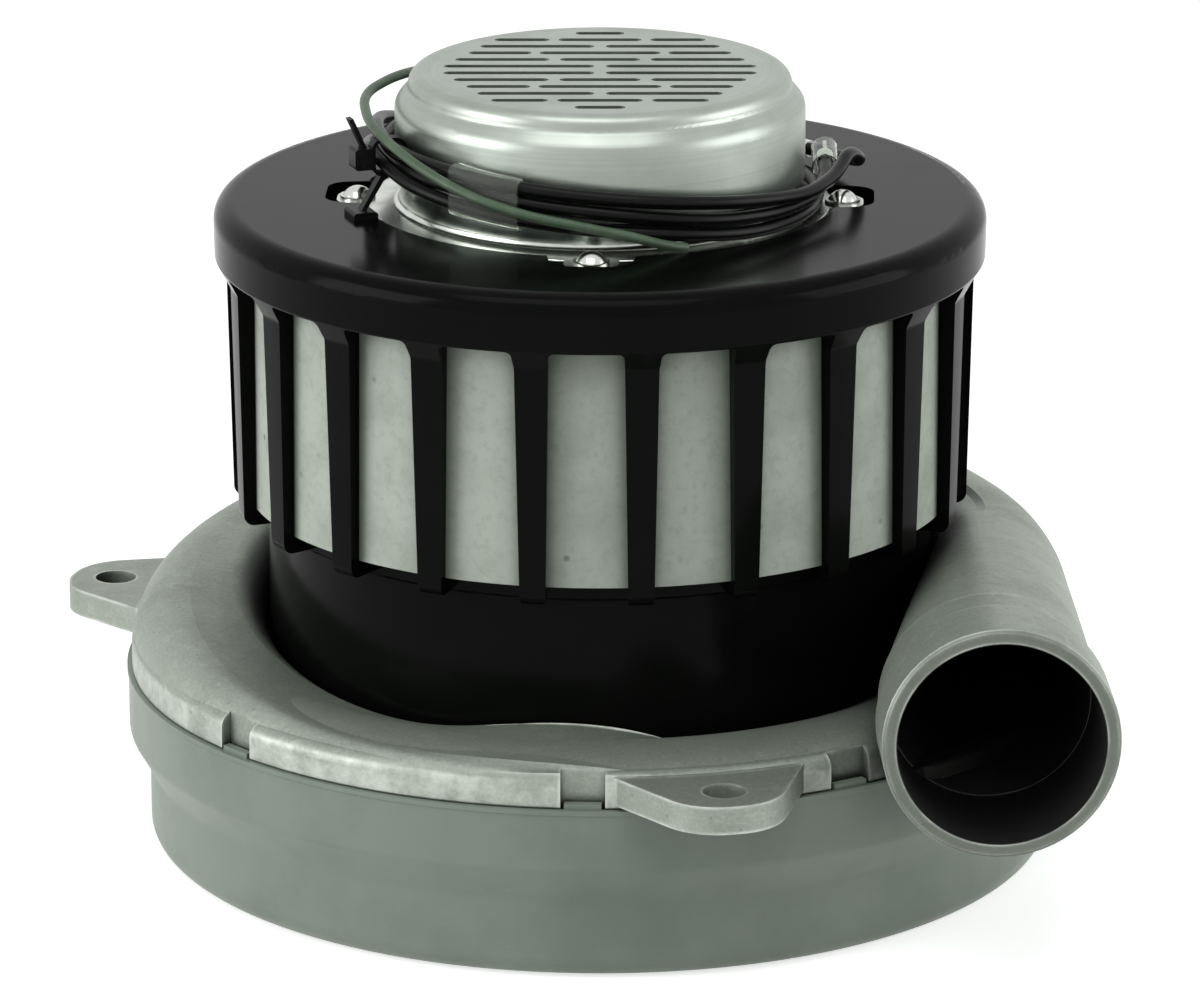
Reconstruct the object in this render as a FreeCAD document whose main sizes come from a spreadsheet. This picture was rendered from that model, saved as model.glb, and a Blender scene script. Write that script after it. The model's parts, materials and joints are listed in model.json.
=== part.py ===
import FreeCAD, Part
import math
import operator
import os
import Sketcher
from FreeCAD import Placement, Rotation, Vector

# Frame: origin on the motor axis at the height of the shell's bottom face, +Z up.
# The front of the object faces -Y. An azimuth is an angle from -Y towards +X, in degrees.

doc = FreeCAD.newDocument("VacuumMotor")
sheet = doc.addObject("Spreadsheet::Sheet", "Sizes")

# Driving dimensions in millimetres and degrees, and counts.
SIZES = [
    # fan shell
    ("shell_wall", 1.3, "sheet of the fan shell"),
    ("shell_foot_r", 102.2, "outer radius of the lower wall"),
    ("shell_band_r", 106.8, "outer radius of the upper band"),
    ("shell_corner", 4.5, "outer round of the bottom corner"),
    ("shoulder_low", 18.0, "height where the step starts"),
    ("shoulder_high", 26.0, "height where the step ends"),
    ("shoulder_round", 3.0, "round of the step"),
    ("seam_height", 40.0, "height of the shell's lip"),
    ("lip_reach", 0.3, "how far the lip stands out"),
    ("lip_height", 1.3, "height of the lip"),
    ("eye_r", 32.0, "radius of the air intake"),
    ("eye_lip", 3.4, "height of the intake's turned lip"),
    # horn casting
    ("cast_wall", 3.2, "wall of the casting"),
    ("plate_thick", 4.2, "thickness of the casting's plate"),
    ("rim_r", 106.0, "outer radius of the casting's rim"),
    ("rim_height", 8.0, "height of the rim above the seam"),
    ("rim_round", 3.0, "round of the rim's upper edge"),
    ("spigot_wall", 2.6, "wall of the spigot inside the shell"),
    ("spigot_gap", 0.3, "radial gap of the spigot in the shell"),
    ("throat_r", 75.4, "inner radius of the volute"),
    ("crest_start", 45.4, "height of the volute at its tongue"),
    ("crest_end", 73.5, "height of the volute where the horn starts"),
    ("crest_power", 0.7, "how early the volute climbs: 1 is in the middle"),
    ("outer_round", 19.0, "round of the volute's outer shoulder at its end"),
    ("inner_round", 9.0, "round of the volute's inner shoulder at its end"),
    ("tongue_azimuth", 12.0, "azimuth where the volute starts"),
    ("horn_r", 23.9, "outer radius of the horn's pipe"),
    ("horn_bore_r", 22.3, "bore radius of the horn"),
    ("horn_x", 85.0, "sideways place of the outlet's centre"),
    ("horn_y", 114.0, "distance of the outlet in front of the axis"),
    ("horn_z", 57.5, "height of the outlet's centre"),
    ("horn_toe", 2.6, "angle by which the horn toes out"),
    ("pipe_length", 30.0, "length of the round part of the horn"),
    ("collar_r", 25.5, "outer radius of the outlet's collar"),
    ("collar_length", 17.0, "length of the collar"),
    ("collar_blend", 7.0, "length of the slope from the pipe to the collar"),
    ("collar_edge", 0.7, "chamfer of the collar's outer edge"),
    ("ear_azimuth", 13.0, "azimuth of the first mounting ear"),
    ("ear_circle_r", 117.0, "radius of the ears' hole circle"),
    ("ear_hole_r", 4.7, "radius of the ears' holes"),
    ("ear_reach", 127.2, "radius of the ears' outer edge"),
    ("ear_root", 21.0, "half width of an ear at the rim"),
    ("ear_tip", 9.0, "half width of an ear at its edge"),
    ("ear_round", 13.0, "round of an ear's corners"),
    ("ear_top", 47.2, "height of an ear's upper face"),
    ("ear_thick", 6.2, "thickness of an ear"),
    ("stake_width", 9.6, "width of a staking notch"),
    ("stake_depth", 2.6, "depth of a staking notch"),
    ("boss_r", 18.0, "outer radius of the bearing boss"),
    # shroud and filter
    ("shroud_top", 147.7, "height of the shroud's top face"),
    ("shroud_plate", 2.8, "thickness of the shroud's top"),
    ("shroud_r", 86.1, "outer radius of the shroud's skirt"),
    ("shroud_edge", 4.5, "round of the shroud's top edge"),
    ("skirt_wall", 3.0, "wall of the skirt"),
    ("skirt_bottom", 135.4, "height of the skirt's lower edge"),
    ("rib_top_r", 83.4, "outer radius of the ribs at their top"),
    ("rib_foot_r", 82.4, "outer radius of the ribs at their feet"),
    ("rib_top_width", 7.7, "width of a rib at its top"),
    ("rib_foot_width", 5.8, "width of a rib at its foot"),
    ("rib_azimuth", 6.2, "azimuth of the first rib"),
    ("rib_count", 22, "number of ribs"),
    ("flare_height", 4.6, "height of the flare under the skirt"),
    ("foot_bottom", 77.4, "height of the underside of the feet"),
    ("foot_thick", 3.4, "thickness of the feet"),
    ("sleeve_r", 74.6, "outer radius of the shroud's lower cylinder"),
    ("sleeve_wall", 2.8, "wall of the lower cylinder"),
    ("window_round", 1.3, "round of a window's corners"),
    ("shroud_hole_r", 52.4, "radius of the hole in the shroud's top"),
    ("pocket_r", 61.0, "reach of the pockets round the screws"),
    ("pocket_half", 8.5, "half width of such a pocket"),
    ("pocket_floor", 145.2, "height of the pockets' floor"),
    ("tab_thick", 2.6, "thickness of the tabs under the screws"),
    ("filter_r", 79.4, "outer radius of the filter"),
    ("filter_wall", 5.4, "thickness of the filter"),
    ("soft_gap", 0.3, "gap round the filter"),
    # motor frame and commutator bracket
    ("frame_r", 50.0, "outer radius of the motor frame"),
    ("frame_wall", 2.6, "wall of the motor frame"),
    ("frame_foot_r", 58.0, "outer radius of the frame's foot"),
    ("frame_foot_thick", 3.0, "thickness of the frame's foot"),
    ("frame_vents", 6, "number of the frame's vents"),
    ("frame_vent_half", 9.0, "half width of a vent"),
    ("frame_vent_low", 54.0, "lower edge of the vents"),
    ("frame_vent_high", 76.0, "upper edge of the vents"),
    ("flange_top", 146.5, "height of the bracket's bright flange"),
    ("flange_thick", 1.3, "thickness of the flange"),
    ("flange_r", 51.6, "outer radius of the flange"),
    ("flange_ear_r", 58.6, "reach of the flange's ears"),
    ("flange_ear_half", 6.0, "half width of a flange ear"),
    ("screw_circle_r", 54.0, "radius of the flange screws' circle"),
    ("screw_azimuth", -2.0, "azimuth of the front flange screw"),
    ("screw_count", 4, "number of flange screws"),
    ("screw_shank_r", 1.9, "radius of a flange screw's shank"),
    ("screw_head_r", 4.0, "radius of a flange screw's head"),
    ("screw_head", 2.7, "height of a flange screw's head"),
    ("screw_play", 0.25, "radial play of a screw in a clear hole"),
    ("neck_r", 44.4, "outer radius of the neck"),
    ("neck_wall", 2.2, "wall of the neck"),
    ("neck_top", 158.5, "height of the neck"),
    ("spoke_plate", 3.0, "thickness of the bracket's spoked plate"),
    ("bracket_boss_r", 15.0, "outer radius of the upper bearing boss"),
    # vent cap
    ("cap_wall", 0.9, "sheet of the vent cap"),
    ("cap_r", 45.6, "outer radius of the cap"),
    ("cap_skirt", 153.0, "height of the cap's lower edge"),
    ("cap_shoulder", 169.4, "height of the cap's shoulder"),
    ("cap_step_r", 42.6, "radius of the cap's upper step"),
    ("cap_step", 172.8, "height of the cap's step"),
    ("cap_top", 176.2, "height of the cap's top"),
    ("cap_edge", 2.9, "round of the cap's top edge"),
    ("slot_pitch", 6.22, "pitch of the rows of slots"),
    ("slot_half", 1.3, "half width of a slot"),
    # rotor and bearings
    ("shaft_r", 4.0, "radius of the shaft at the bearings"),
    ("shaft_mid_r", 5.0, "radius of the shaft between the bearings"),
    ("shaft_low", 2.4, "height of the shaft's lower end"),
    ("shaft_high", 170.5, "height of the shaft's upper end"),
    ("fit_gap", 0.02, "radial gap of a fitted bore"),
    ("bearing_r", 11.0, "outer radius of a bearing"),
    ("bearing_width", 7.0, "width of a bearing"),
    ("bearing_low", 48.0, "underside of the lower bearing"),
    ("bearing_high", 148.0, "underside of the upper bearing"),
    ("ball_r", 1.98, "radius of a ball"),
    ("ball_circle_r", 7.5, "radius of the balls' circle"),
    ("ball_count", 7, "balls in a bearing"),
    ("groove_gap", 0.05, "play of a ball in its groove"),
    ("inner_race_r", 6.1, "shoulder radius of an inner race"),
    ("outer_race_r", 8.9, "shoulder radius of an outer race"),
    ("cage_wall", 0.9, "wall of a ball cage"),
    ("cage_half", 2.9, "half height of a ball cage"),
    ("disc_thick", 1.1, "thickness of an impeller's discs"),
    ("impeller_r", 88.5, "radius of the impellers"),
    ("impeller_eye_r", 30.0, "radius of an impeller's eye"),
    ("impeller_lip", 1.8, "height of the lip round an eye"),
    ("hub_r", 11.0, "radius of an impeller's hub"),
    ("blade_thick", 1.2, "thickness of an impeller's blades"),
    ("blade_count", 7, "blades of an impeller"),
    ("blade_sweep", 62.0, "angle that a blade turns back"),
    ("blade_bow", 62.0, "radius of a blade's curve"),
    ("first_low", 4.6, "underside of the first impeller's front disc"),
    ("first_high", 16.6, "top of the first impeller's back disc"),
    ("second_low", 27.6, "underside of the second impeller's front disc"),
    ("second_high", 37.8, "top of the second impeller's back disc"),
    ("stator_low", 18.4, "underside of the stationary fan"),
    ("stator_high", 26.2, "top of the stationary fan"),
    ("stator_plate", 1.0, "thickness of the stationary fan's plates"),
    ("stator_return_r", 94.0, "radius of the stationary fan's lower plate"),
    ("vane_count", 9, "vanes of the stationary fan"),
    ("vane_sweep", 48.0, "angle that a vane turns"),
    ("core_r", 20.4, "radius of the armature"),
    ("core_low", 80.0, "underside of the laminated cores"),
    ("core_high", 116.0, "top of the laminated cores"),
    ("air_gap", 0.6, "gap between armature and field"),
    ("core_slots", 12, "slots of the armature"),
    ("slot_width", 4.0, "width of an armature slot"),
    ("slot_root_r", 11.5, "radius of the armature slots' floor"),
    ("winding_gap", 0.2, "gap round the armature winding"),
    ("winding_head", 9.5, "height of the winding's heads"),
    ("pole_half", 58.0, "half of the angle of a field pole"),
    ("coil_in_r", 25.5, "inner radius of a field coil"),
    ("coil_out_r", 35.0, "outer radius of a field coil"),
    ("coil_half", 84.0, "half of the angle of a field coil"),
    ("coil_head", 8.0, "height of a coil's heads"),
    ("yoke_r", 36.5, "inner radius of the field's yoke"),
    ("copper_low", 126.5, "underside of the commutator"),
    ("copper_high", 141.0, "top of the commutator"),
    ("copper_r", 12.0, "radius of the commutator"),
    ("riser_r", 14.0, "radius of the commutator's risers"),
    ("riser_height", 2.2, "height of the risers"),
    ("bar_count", 24, "bars of the commutator"),
    ("bar_gap", 0.6, "gap between the bars"),
    ("cooler_low", 159.4, "underside of the cooling fan"),
    ("cooler_high", 169.0, "top of the cooling fan's blades"),
    ("cooler_r", 36.0, "radius of the cooling fan"),
    ("cooler_blades", 11, "blades of the cooling fan"),
    # brushes
    ("brush_width", 6.2, "width of a brush along the turn"),
    ("brush_height", 9.6, "height of a brush along the axis"),
    ("brush_length", 21.0, "length of a brush"),
    ("brush_gap", 0.1, "gap between brush and commutator"),
    ("brush_play", 0.15, "play of a brush in its tube"),
    ("brush_middle", 134.6, "height of the brushes' middle"),
    ("tube_wall", 0.8, "wall of a brush tube"),
    ("tube_start", 15.6, "inner end of a brush tube"),
    ("tube_end", 43.6, "outer end of a brush tube"),
    ("clip_thick", 1.0, "thickness of a brush clip"),
    ("holder_wall", 2.6, "wall of a brush holder's block"),
    ("spring_r", 2.3, "radius of a brush spring's turns"),
    ("spring_wire_r", 0.3, "radius of its wire"),
    ("spring_turns", 6, "turns of a brush spring"),
    ("holder_screw_x", 30.0, "distance of a holder's screws from the axis"),
    ("holder_screw_r", 0.8, "radius of a holder screw's shank"),
    # wiring
    ("lead_diameter", 3.0, "diameter of the black leads"),
    ("earth_diameter", 2.2, "diameter of the earth wire"),
    ("grommet_azimuth", -150.0, "azimuth of the grommet in the neck"),
    ("grommet_height", 150.6, "height of the grommet's middle"),
    ("grommet_half", 1.9, "half height of the grommet's slot"),
    ("lead_spread", 3.4, "distance of a lead from the grommet's middle"),
    ("tie_azimuth", -70.0, "azimuth of the cable tie"),
    ("tie_strap", 0.8, "thickness of the tie's strap"),
    ("tie_width", 3.0, "width of the tie's strap"),
    ("sleeve_skin", 0.35, "wall of the clear sleeves"),
]


class Size:
    """A length, angle or count: its number and the sheet expression that gives it."""

    def __init__(self, number, text):
        self.number = float(number)
        self.text = text

    def __add__(self, other):
        return combined(self, "+", other)

    def __radd__(self, other):
        return combined(other, "+", self)

    def __sub__(self, other):
        return combined(self, "-", other)

    def __rsub__(self, other):
        return combined(other, "-", self)

    def __mul__(self, other):
        return combined(self, "*", other)

    def __rmul__(self, other):
        return combined(other, "*", self)

    def __truediv__(self, other):
        return combined(self, "/", other)

    def __rtruediv__(self, other):
        return combined(other, "/", self)

    def __neg__(self):
        return combined(0, "-", self)


OPERATORS = {"+": operator.add, "-": operator.sub, "*": operator.mul, "/": operator.truediv}


def sized(value):
    return value if isinstance(value, Size) else Size(value, repr(value))


def combined(left, sign, right):
    left, right = sized(left), sized(right)
    return Size(OPERATORS[sign](left.number, right.number), f"({left.text} {sign} {right.text})")


def cosine(angle):
    angle = sized(angle)
    return Size(math.cos(math.radians(angle.number)), f"cos({angle.text})")


def sine(angle):
    angle = sized(angle)
    return Size(math.sin(math.radians(angle.number)), f"sin({angle.text})")


def tangent(angle):
    angle = sized(angle)
    return Size(math.tan(math.radians(angle.number)), f"tan({angle.text})")


def root(value):
    value = sized(value)
    return Size(math.sqrt(value.number), f"sqrt({value.text})")


def power(base, exponent):
    base, exponent = sized(base), sized(exponent)
    return Size(base.number ** exponent.number, f"({base.text} ^ {exponent.text})")


def smaller(first, second):
    first, second = sized(first), sized(second)
    return Size(min(first.number, second.number), f"min({first.text}; {second.text})")


def fill_sheet():
    """The sheet's rows: what a size means, its value, and its alias."""
    for row, (alias, value, meaning) in enumerate(SIZES, start=1):
        sheet.set(f"A{row}", meaning)
        sheet.set(f"B{row}", str(value))
        sheet.setAlias(f"B{row}", alias)
    doc.recompute()


class Sheet:
    """Reads a size from the sheet by its alias."""

    def __getattr__(self, alias):
        return Size(getattr(sheet, alias), f"Sizes.{alias}")


fill_sheet()
of = Sheet()


def bind(thing, path, value):
    """Sets a property from a size, so that it follows the sheet."""
    thing.setExpression(path, sized(value).text)


def place_of(value):
    return sized(value).number


class Drawing:
    """A sketch on one of a body's own planes, whose points are tied to the sheet.

    lift moves it along the plane's normal. turn swings an upright plane round the motor axis, so
    that it faces that azimuth. spin turns a level plane about its normal.
    """

    def __init__(self, body, name, plane="XZ_Plane", lift=0, turn=0, spin=0, at=(0, 0, 0)):
        self.sketch = body.newObject("Sketcher::SketchObject", name)
        support = next(f for f in body.Origin.OriginFeatures if f.Role == plane)
        self.sketch.AttachmentSupport = [(support, "")]
        self.sketch.MapMode = "FlatFace"
        base = (at[0] + lift * sine(turn), at[1], at[2] + lift * cosine(turn))
        angle = sized(turn) + sized(spin)
        axis = Vector(0, 0, 1) if sized(spin).number else Vector(0, 1, 0)
        self.sketch.AttachmentOffset = Placement(
            Vector(*(place_of(part) for part in base)), Rotation(axis, angle.number))
        for letter, part in zip("xyz", base):
            if "Sizes." in sized(part).text:
                bind(self.sketch, f"AttachmentOffset.Base.{letter}", part)
        if angle.number:
            bind(self.sketch, "AttachmentOffset.Rotation.Angle", angle)

    def tie(self, kind, geometry, point, value):
        """Holds one coordinate of a point at a size from the origin."""
        value = sized(value)
        on_axis = {"DistanceX": -2, "DistanceY": -1}[kind]
        if value.text in ("0", "0.0"):
            self.sketch.addConstraint(Sketcher.Constraint("PointOnObject", geometry, point, on_axis))
        elif value.number < 0:
            number = self.sketch.addConstraint(
                Sketcher.Constraint(kind, geometry, point, -1, 1, -value.number))
            bind(self.sketch, f"Constraints[{number}]", -value)
        else:
            number = self.sketch.addConstraint(
                Sketcher.Constraint(kind, -1, 1, geometry, point, value.number))
            bind(self.sketch, f"Constraints[{number}]", value)

    def place(self, geometry, point, spot):
        self.tie("DistanceX", geometry, point, spot[0])
        self.tie("DistanceY", geometry, point, spot[1])

    def size(self, kind, geometry, value):
        number = self.sketch.addConstraint(Sketcher.Constraint(kind, geometry, sized(value).number))
        bind(self.sketch, f"Constraints[{number}]", value)

    def circle(self, x, y, radius):
        middle = Vector(place_of(x), place_of(y), 0)
        ring = self.sketch.addGeometry(Part.Circle(middle, Vector(0, 0, 1), place_of(radius)), False)
        self.place(ring, 3, (x, y))
        self.size("Radius", ring, radius)
        return self

    def outline(self, corners, bows=None):
        """A closed outline. A corner is (x, y) or (x, y, round). bows gives sides that are arcs:
        the number of the corner where the side starts, and its radius, negative for an arc that
        turns right."""
        bows = bows or {}
        spots = [Vector(place_of(c[0]), place_of(c[1]), 0) for c in corners]
        count = len(corners)
        rounds = [c[2] if len(c) > 2 else None for c in corners]
        starts, ends, middles = list(spots), list(spots), [None] * count
        for k, value in enumerate(rounds):
            if value is None:
                continue
            back = (spots[k - 1] - spots[k]).normalize()
            on = (spots[(k + 1) % count] - spots[k]).normalize()
            half = back.getAngle(on) / 2
            reach = place_of(value) / math.tan(half)
            ends[k] = spots[k] + back * reach
            starts[k] = spots[k] + on * reach
            inward = (back + on).normalize()
            centre = spots[k] + inward * (place_of(value) / math.sin(half))
            middles[k] = centre - inward * place_of(value)
        sides = []
        for k in range(count):
            after = (k + 1) % count
            if k in bows:
                sides.append(self.sketch.addGeometry(
                    bowed(starts[k], ends[after], place_of(bows[k])), False))
            else:
                sides.append(self.sketch.addGeometry(Part.LineSegment(starts[k], ends[after]), False))
        for k in range(count):
            first, second = side_end(self.sketch, sides[k - 1], ends[k]), side_end(
                self.sketch, sides[k], starts[k])
            if rounds[k] is None:
                self.sketch.addConstraint(
                    Sketcher.Constraint("Coincident", sides[k - 1], first, sides[k], second))
                self.place(sides[k], second, corners[k])
                continue
            arc = self.sketch.addGeometry(Part.Arc(ends[k], middles[k], starts[k]), False)
            tip = self.sketch.addGeometry(Part.Point(spots[k]), True)
            near = side_end(self.sketch, arc, ends[k])
            self.sketch.addConstraint([
                Sketcher.Constraint("Tangent", sides[k - 1], first, arc, near),
                Sketcher.Constraint("Tangent", arc, 3 - near, sides[k], second),
                Sketcher.Constraint("PointOnObject", tip, 1, sides[k - 1]),
                Sketcher.Constraint("PointOnObject", tip, 1, sides[k]),
            ])
            self.place(tip, 1, corners[k])
            self.size("Radius", arc, rounds[k])
        for k, radius in bows.items():
            self.size("Radius", sides[k], radius if place_of(radius) > 0 else -radius)
        return self

    def slot(self, left, right, height, half):
        """A level slot with round ends."""
        x0, x1, y, r = (place_of(value) for value in (left, right, height, half))
        top = self.sketch.addGeometry(Part.LineSegment(Vector(x0, y + r), Vector(x1, y + r)), False)
        low = self.sketch.addGeometry(Part.LineSegment(Vector(x1, y - r), Vector(x0, y - r)), False)
        far = self.sketch.addGeometry(
            Part.Arc(Vector(x1, y - r), Vector(x1 + r, y), Vector(x1, y + r)), False)
        near = self.sketch.addGeometry(
            Part.Arc(Vector(x0, y + r), Vector(x0 - r, y), Vector(x0, y - r)), False)
        self.sketch.addConstraint([
            Sketcher.Constraint("Tangent", top, 2, far, 2),
            Sketcher.Constraint("Tangent", far, 1, low, 1),
            Sketcher.Constraint("Tangent", low, 2, near, 2),
            Sketcher.Constraint("Tangent", near, 1, top, 1),
            Sketcher.Constraint("Equal", near, far),
        ])
        self.size("Radius", far, half)
        self.place(far, 3, (right, height))
        self.place(near, 3, (left, height))
        return self


def bowed(start, end, radius):
    """An arc from start to end. It turns left for a positive radius and right for a negative one."""
    chord = end - start
    across = Vector(-chord.y, chord.x, 0).normalize()
    rise = math.sqrt(radius * radius - chord.Length ** 2 / 4)
    side = 1 if radius > 0 else -1
    centre = (start + end) * 0.5 + across * (side * rise)
    middle = centre - across * (side * abs(radius))
    return Part.Arc(start, middle, end)


def side_end(sketch, number, spot):
    """Which end of a line or arc lies at the spot: 1 for its start, 2 for its end."""
    first = sketch.getPoint(number, 1)
    last = sketch.getPoint(number, 2)
    return 1 if (first - spot).Length < (last - spot).Length else 2


def polar(radius, angle):
    """The point at a radius and an angle from the drawing's x axis."""
    return (radius * cosine(angle), radius * sine(angle))


def new_body(label):
    body = doc.addObject("PartDesign::Body", label)
    body.Label = label
    return body


def axis_of(body, role):
    return next(f for f in body.Origin.OriginFeatures if f.Role == role)


def swept(body, kind, name, drawing, **values):
    """A Pad, Pocket, Revolution or Groove from a drawing."""
    feature = body.newObject(f"PartDesign::{kind}", name)
    feature.Profile = drawing.sketch
    feature.Refine = False
    for key, value in values.items():
        if isinstance(value, (Size, int, float)) and not isinstance(value, bool):
            setattr(feature, key, place_of(value))
            bind(feature, key, value)
        else:
            setattr(feature, key, value)
    drawing.sketch.Visibility = False
    return feature


def pad(body, name, drawing, length, **options):
    return swept(body, "Pad", name, drawing, Length=length, **options)


def pocket(body, name, drawing, length, **options):
    return swept(body, "Pocket", name, drawing, Length=length, **options)


def spun(body, name, drawing, kind="Revolution"):
    feature = body.newObject(f"PartDesign::{kind}", name)
    feature.Profile = drawing.sketch
    feature.ReferenceAxis = (drawing.sketch, ["V_Axis"])
    feature.Refine = False
    feature.Angle = 360
    return feature


def around(body, name, features, count):
    """Repeats features evenly round the motor axis."""
    pattern = body.newObject("PartDesign::PolarPattern", name)
    pattern.Originals = features
    pattern.Refine = False
    pattern.Axis = (axis_of(body, "Z_Axis"), [""])
    pattern.Angle = 360
    bind(pattern, "Occurrences", count)
    pattern.Occurrences = round(place_of(count))
    body.Tip = pattern
    return pattern


def mirrored(body, name, features, role):
    copy = body.newObject("PartDesign::Mirrored", name)
    copy.Originals = features
    copy.Refine = False
    copy.MirrorPlane = (axis_of(body, role), [""])
    body.Tip = copy
    return copy


def lofted(body, name, drawings, kind="AdditiveLoft"):
    skin = body.newObject(f"PartDesign::{kind}", name)
    skin.Profile = drawings[0].sketch
    skin.Refine = False
    skin.Sections = [drawing.sketch for drawing in drawings[1:]]
    return skin


def turned(label, corners, bows=None):
    """A round piece: one closed outline of radius and height, spun round the motor axis."""
    body = new_body(label)
    spun(body, "spin", Drawing(body, "section").outline(corners, bows))
    return body


def ring(label, inner, outer, low, high):
    return turned(label, [(inner, low), (outer, low), (outer, high), (inner, high)])


# Heights and radii that follow from the driving dimensions.
band_inner_r = of.shell_band_r - of.shell_wall
plate_top = of.seam_height + of.plate_thick
rim_top = of.seam_height + of.rim_height
volute_in = of.throat_r + 0.3
volute_out = of.rim_r - 0.5
frame_top = of.flange_top - of.flange_thick
bearing_low_top = of.bearing_low + of.bearing_width
bearing_high_top = of.bearing_high + of.bearing_width
bore_r = of.shaft_r + of.fit_gap
seat_r = of.bearing_r + of.fit_gap
seal_floor = of.seam_height + 1.6
tube_half_width = of.brush_width / 2 + of.brush_play + of.tube_wall
tube_half_height = of.brush_height / 2 + of.brush_play + of.tube_wall
stake_azimuths = (-48.5, -2.0, 30.5, 100.0, 157.0, -127.0)
clear_r = of.screw_shank_r + of.screw_play
holder_screw_y = tube_half_width + of.holder_wall / 2
holder_screw_spots = [(side * of.holder_screw_x, edge * holder_screw_y)
                      for side in (1, -1) for edge in (1, -1)]


def make_fan_shell():
    """Drawn steel cup with a stepped wall, a lip to sit the casting on and a turned intake lip."""
    body = new_body("fan_shell")
    wall, foot, band = of.shell_wall, of.shell_foot_r, of.shell_band_r
    lip_low = of.seam_height - of.lip_height
    spun(body, "drawn_cup", Drawing(body, "cup_section").outline([
        (of.eye_r, 0, 2.2),
        (foot, 0, of.shell_corner),
        (foot, of.shoulder_low, of.shoulder_round),
        (band, of.shoulder_high, of.shoulder_round),
        (band, lip_low),
        (band + of.lip_reach, lip_low + of.lip_reach),
        (band + of.lip_reach, of.seam_height),
        (band - wall, of.seam_height),
        (band - wall, of.shoulder_high, of.shoulder_round),
        (foot - wall, of.shoulder_low, of.shoulder_round),
        (foot - wall, wall, of.shell_corner - wall),
        (of.eye_r + wall, wall, 0.9),
        (of.eye_r + wall, of.eye_lip),
        (of.eye_r, of.eye_lip),
    ]))
    for k, azimuth in enumerate(stake_azimuths):
        tongue = Drawing(body, f"tongue_shape_{k}", lift=of.rim_r - 1.7, turn=azimuth)
        half = of.stake_width / 2 - 0.8
        low, high = of.seam_height - 0.8, of.seam_height + 1.3
        tongue.outline([(-half, low), (half, low), (half, high), (-half, high)])
        pad(body, f"tongue_{k}", tongue, 1.8)
    return body


def box_section(body, name, low, tops, in_x, out_x, low_round, rounds, **place):
    """A rounded box as a loft section: eight sides, from which a near circle can be made too.

    tops and rounds give the height and the round of the upper corners: outer first, then inner.
    """
    return Drawing(body, name, **place).outline([
        (in_x, low, low_round), (out_x, low, low_round),
        (out_x, tops[0], rounds[0]), (in_x, tops[1], rounds[1])])


def volute_sections(body, label, inset, low):
    """Sections of the volute round the axis. The crest climbs from the tongue to the horn.

    At the tongue its top leans down to the motor. Further on both shoulders are equally high.
    """
    count = 7
    drawings = []
    sweep = 270 + of.tongue_azimuth
    for k in range(count + 1):
        share = k / count
        climb = 0.5 - 0.5 * cosine(180 * power(share, of.crest_power))
        rise = of.crest_start - plate_top + (of.crest_end - of.crest_start) * climb
        lean = min(1.0, 0.3 + 12 * share ** 3)
        tops, rounds = [], []
        for height, full in ((rise, of.outer_round), (rise * lean, of.inner_round)):
            tops.append(plate_top + height - inset)
            rounds.append(smaller(0.85 * height, full) * (1 - inset / full))
        drawings.append(box_section(
            body, f"{label}_{k}", low, tops, volute_in + inset, volute_out - inset,
            0.5, rounds, turn=of.tongue_azimuth - 90 - sweep * share))
    return drawings


def horn_sections(body, label, inset, last_inset, low_rise):
    """Sections from the volute's end to the round pipe. They widen towards the motor's inside."""
    pipe_y = of.horn_y - of.pipe_length * cosine(of.horn_toe)
    pipe_x = of.horn_x - of.pipe_length * sine(of.horn_toe)
    start = (volute_in, volute_out, of.seam_height + 0.4, of.crest_end, sized(1.5 + inset * 0.4))
    last = (pipe_x - of.horn_r, pipe_x + of.horn_r, of.horn_z - of.horn_r, of.horn_z + of.horn_r,
            of.horn_r)
    drawings = []
    for k, share in enumerate((0.0, 0.35, 0.7)):
        wall = inset + (last_inset - inset) * share
        drop = share ** 4
        in_x = start[0] + (last[0] - start[0]) * share + wall
        out_x = start[1] + (last[1] - start[1]) * share - wall
        low = start[2] + (last[2] - start[2]) * drop + wall + low_rise * (1 - share)
        high = start[3] + (last[3] - start[3]) * share - wall
        low_round = start[4] + (last[4] - start[4]) * share ** 2 - wall * share
        rounds = [full + (of.horn_r - full) * share - wall
                  for full in (of.outer_round, of.inner_round)]
        drawings.append(box_section(
            body, f"{label}_{k}", low, (high, high), in_x, out_x, low_round, rounds,
            lift=pipe_y * share))
    half = of.horn_r - last_inset - 0.25
    near_half = half - 0.2
    drawings.append(box_section(
        body, f"{label}_end", -half, (half, half), -half, half, near_half, (near_half, near_half),
        turn=of.horn_toe, at=horn_spot(of.pipe_length)))
    return drawings


def horn_spot(back):
    """The point on the horn's axis at a distance behind the outlet's face."""
    return (of.horn_x - back * sine(of.horn_toe), of.horn_z, of.horn_y - back * cosine(of.horn_toe))


def horn_disc(body, name, radius, back):
    """A circle across the horn's axis, at a distance behind the outlet's face."""
    return Drawing(body, name, turn=of.horn_toe, at=horn_spot(back)).circle(0, 0, radius)


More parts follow.
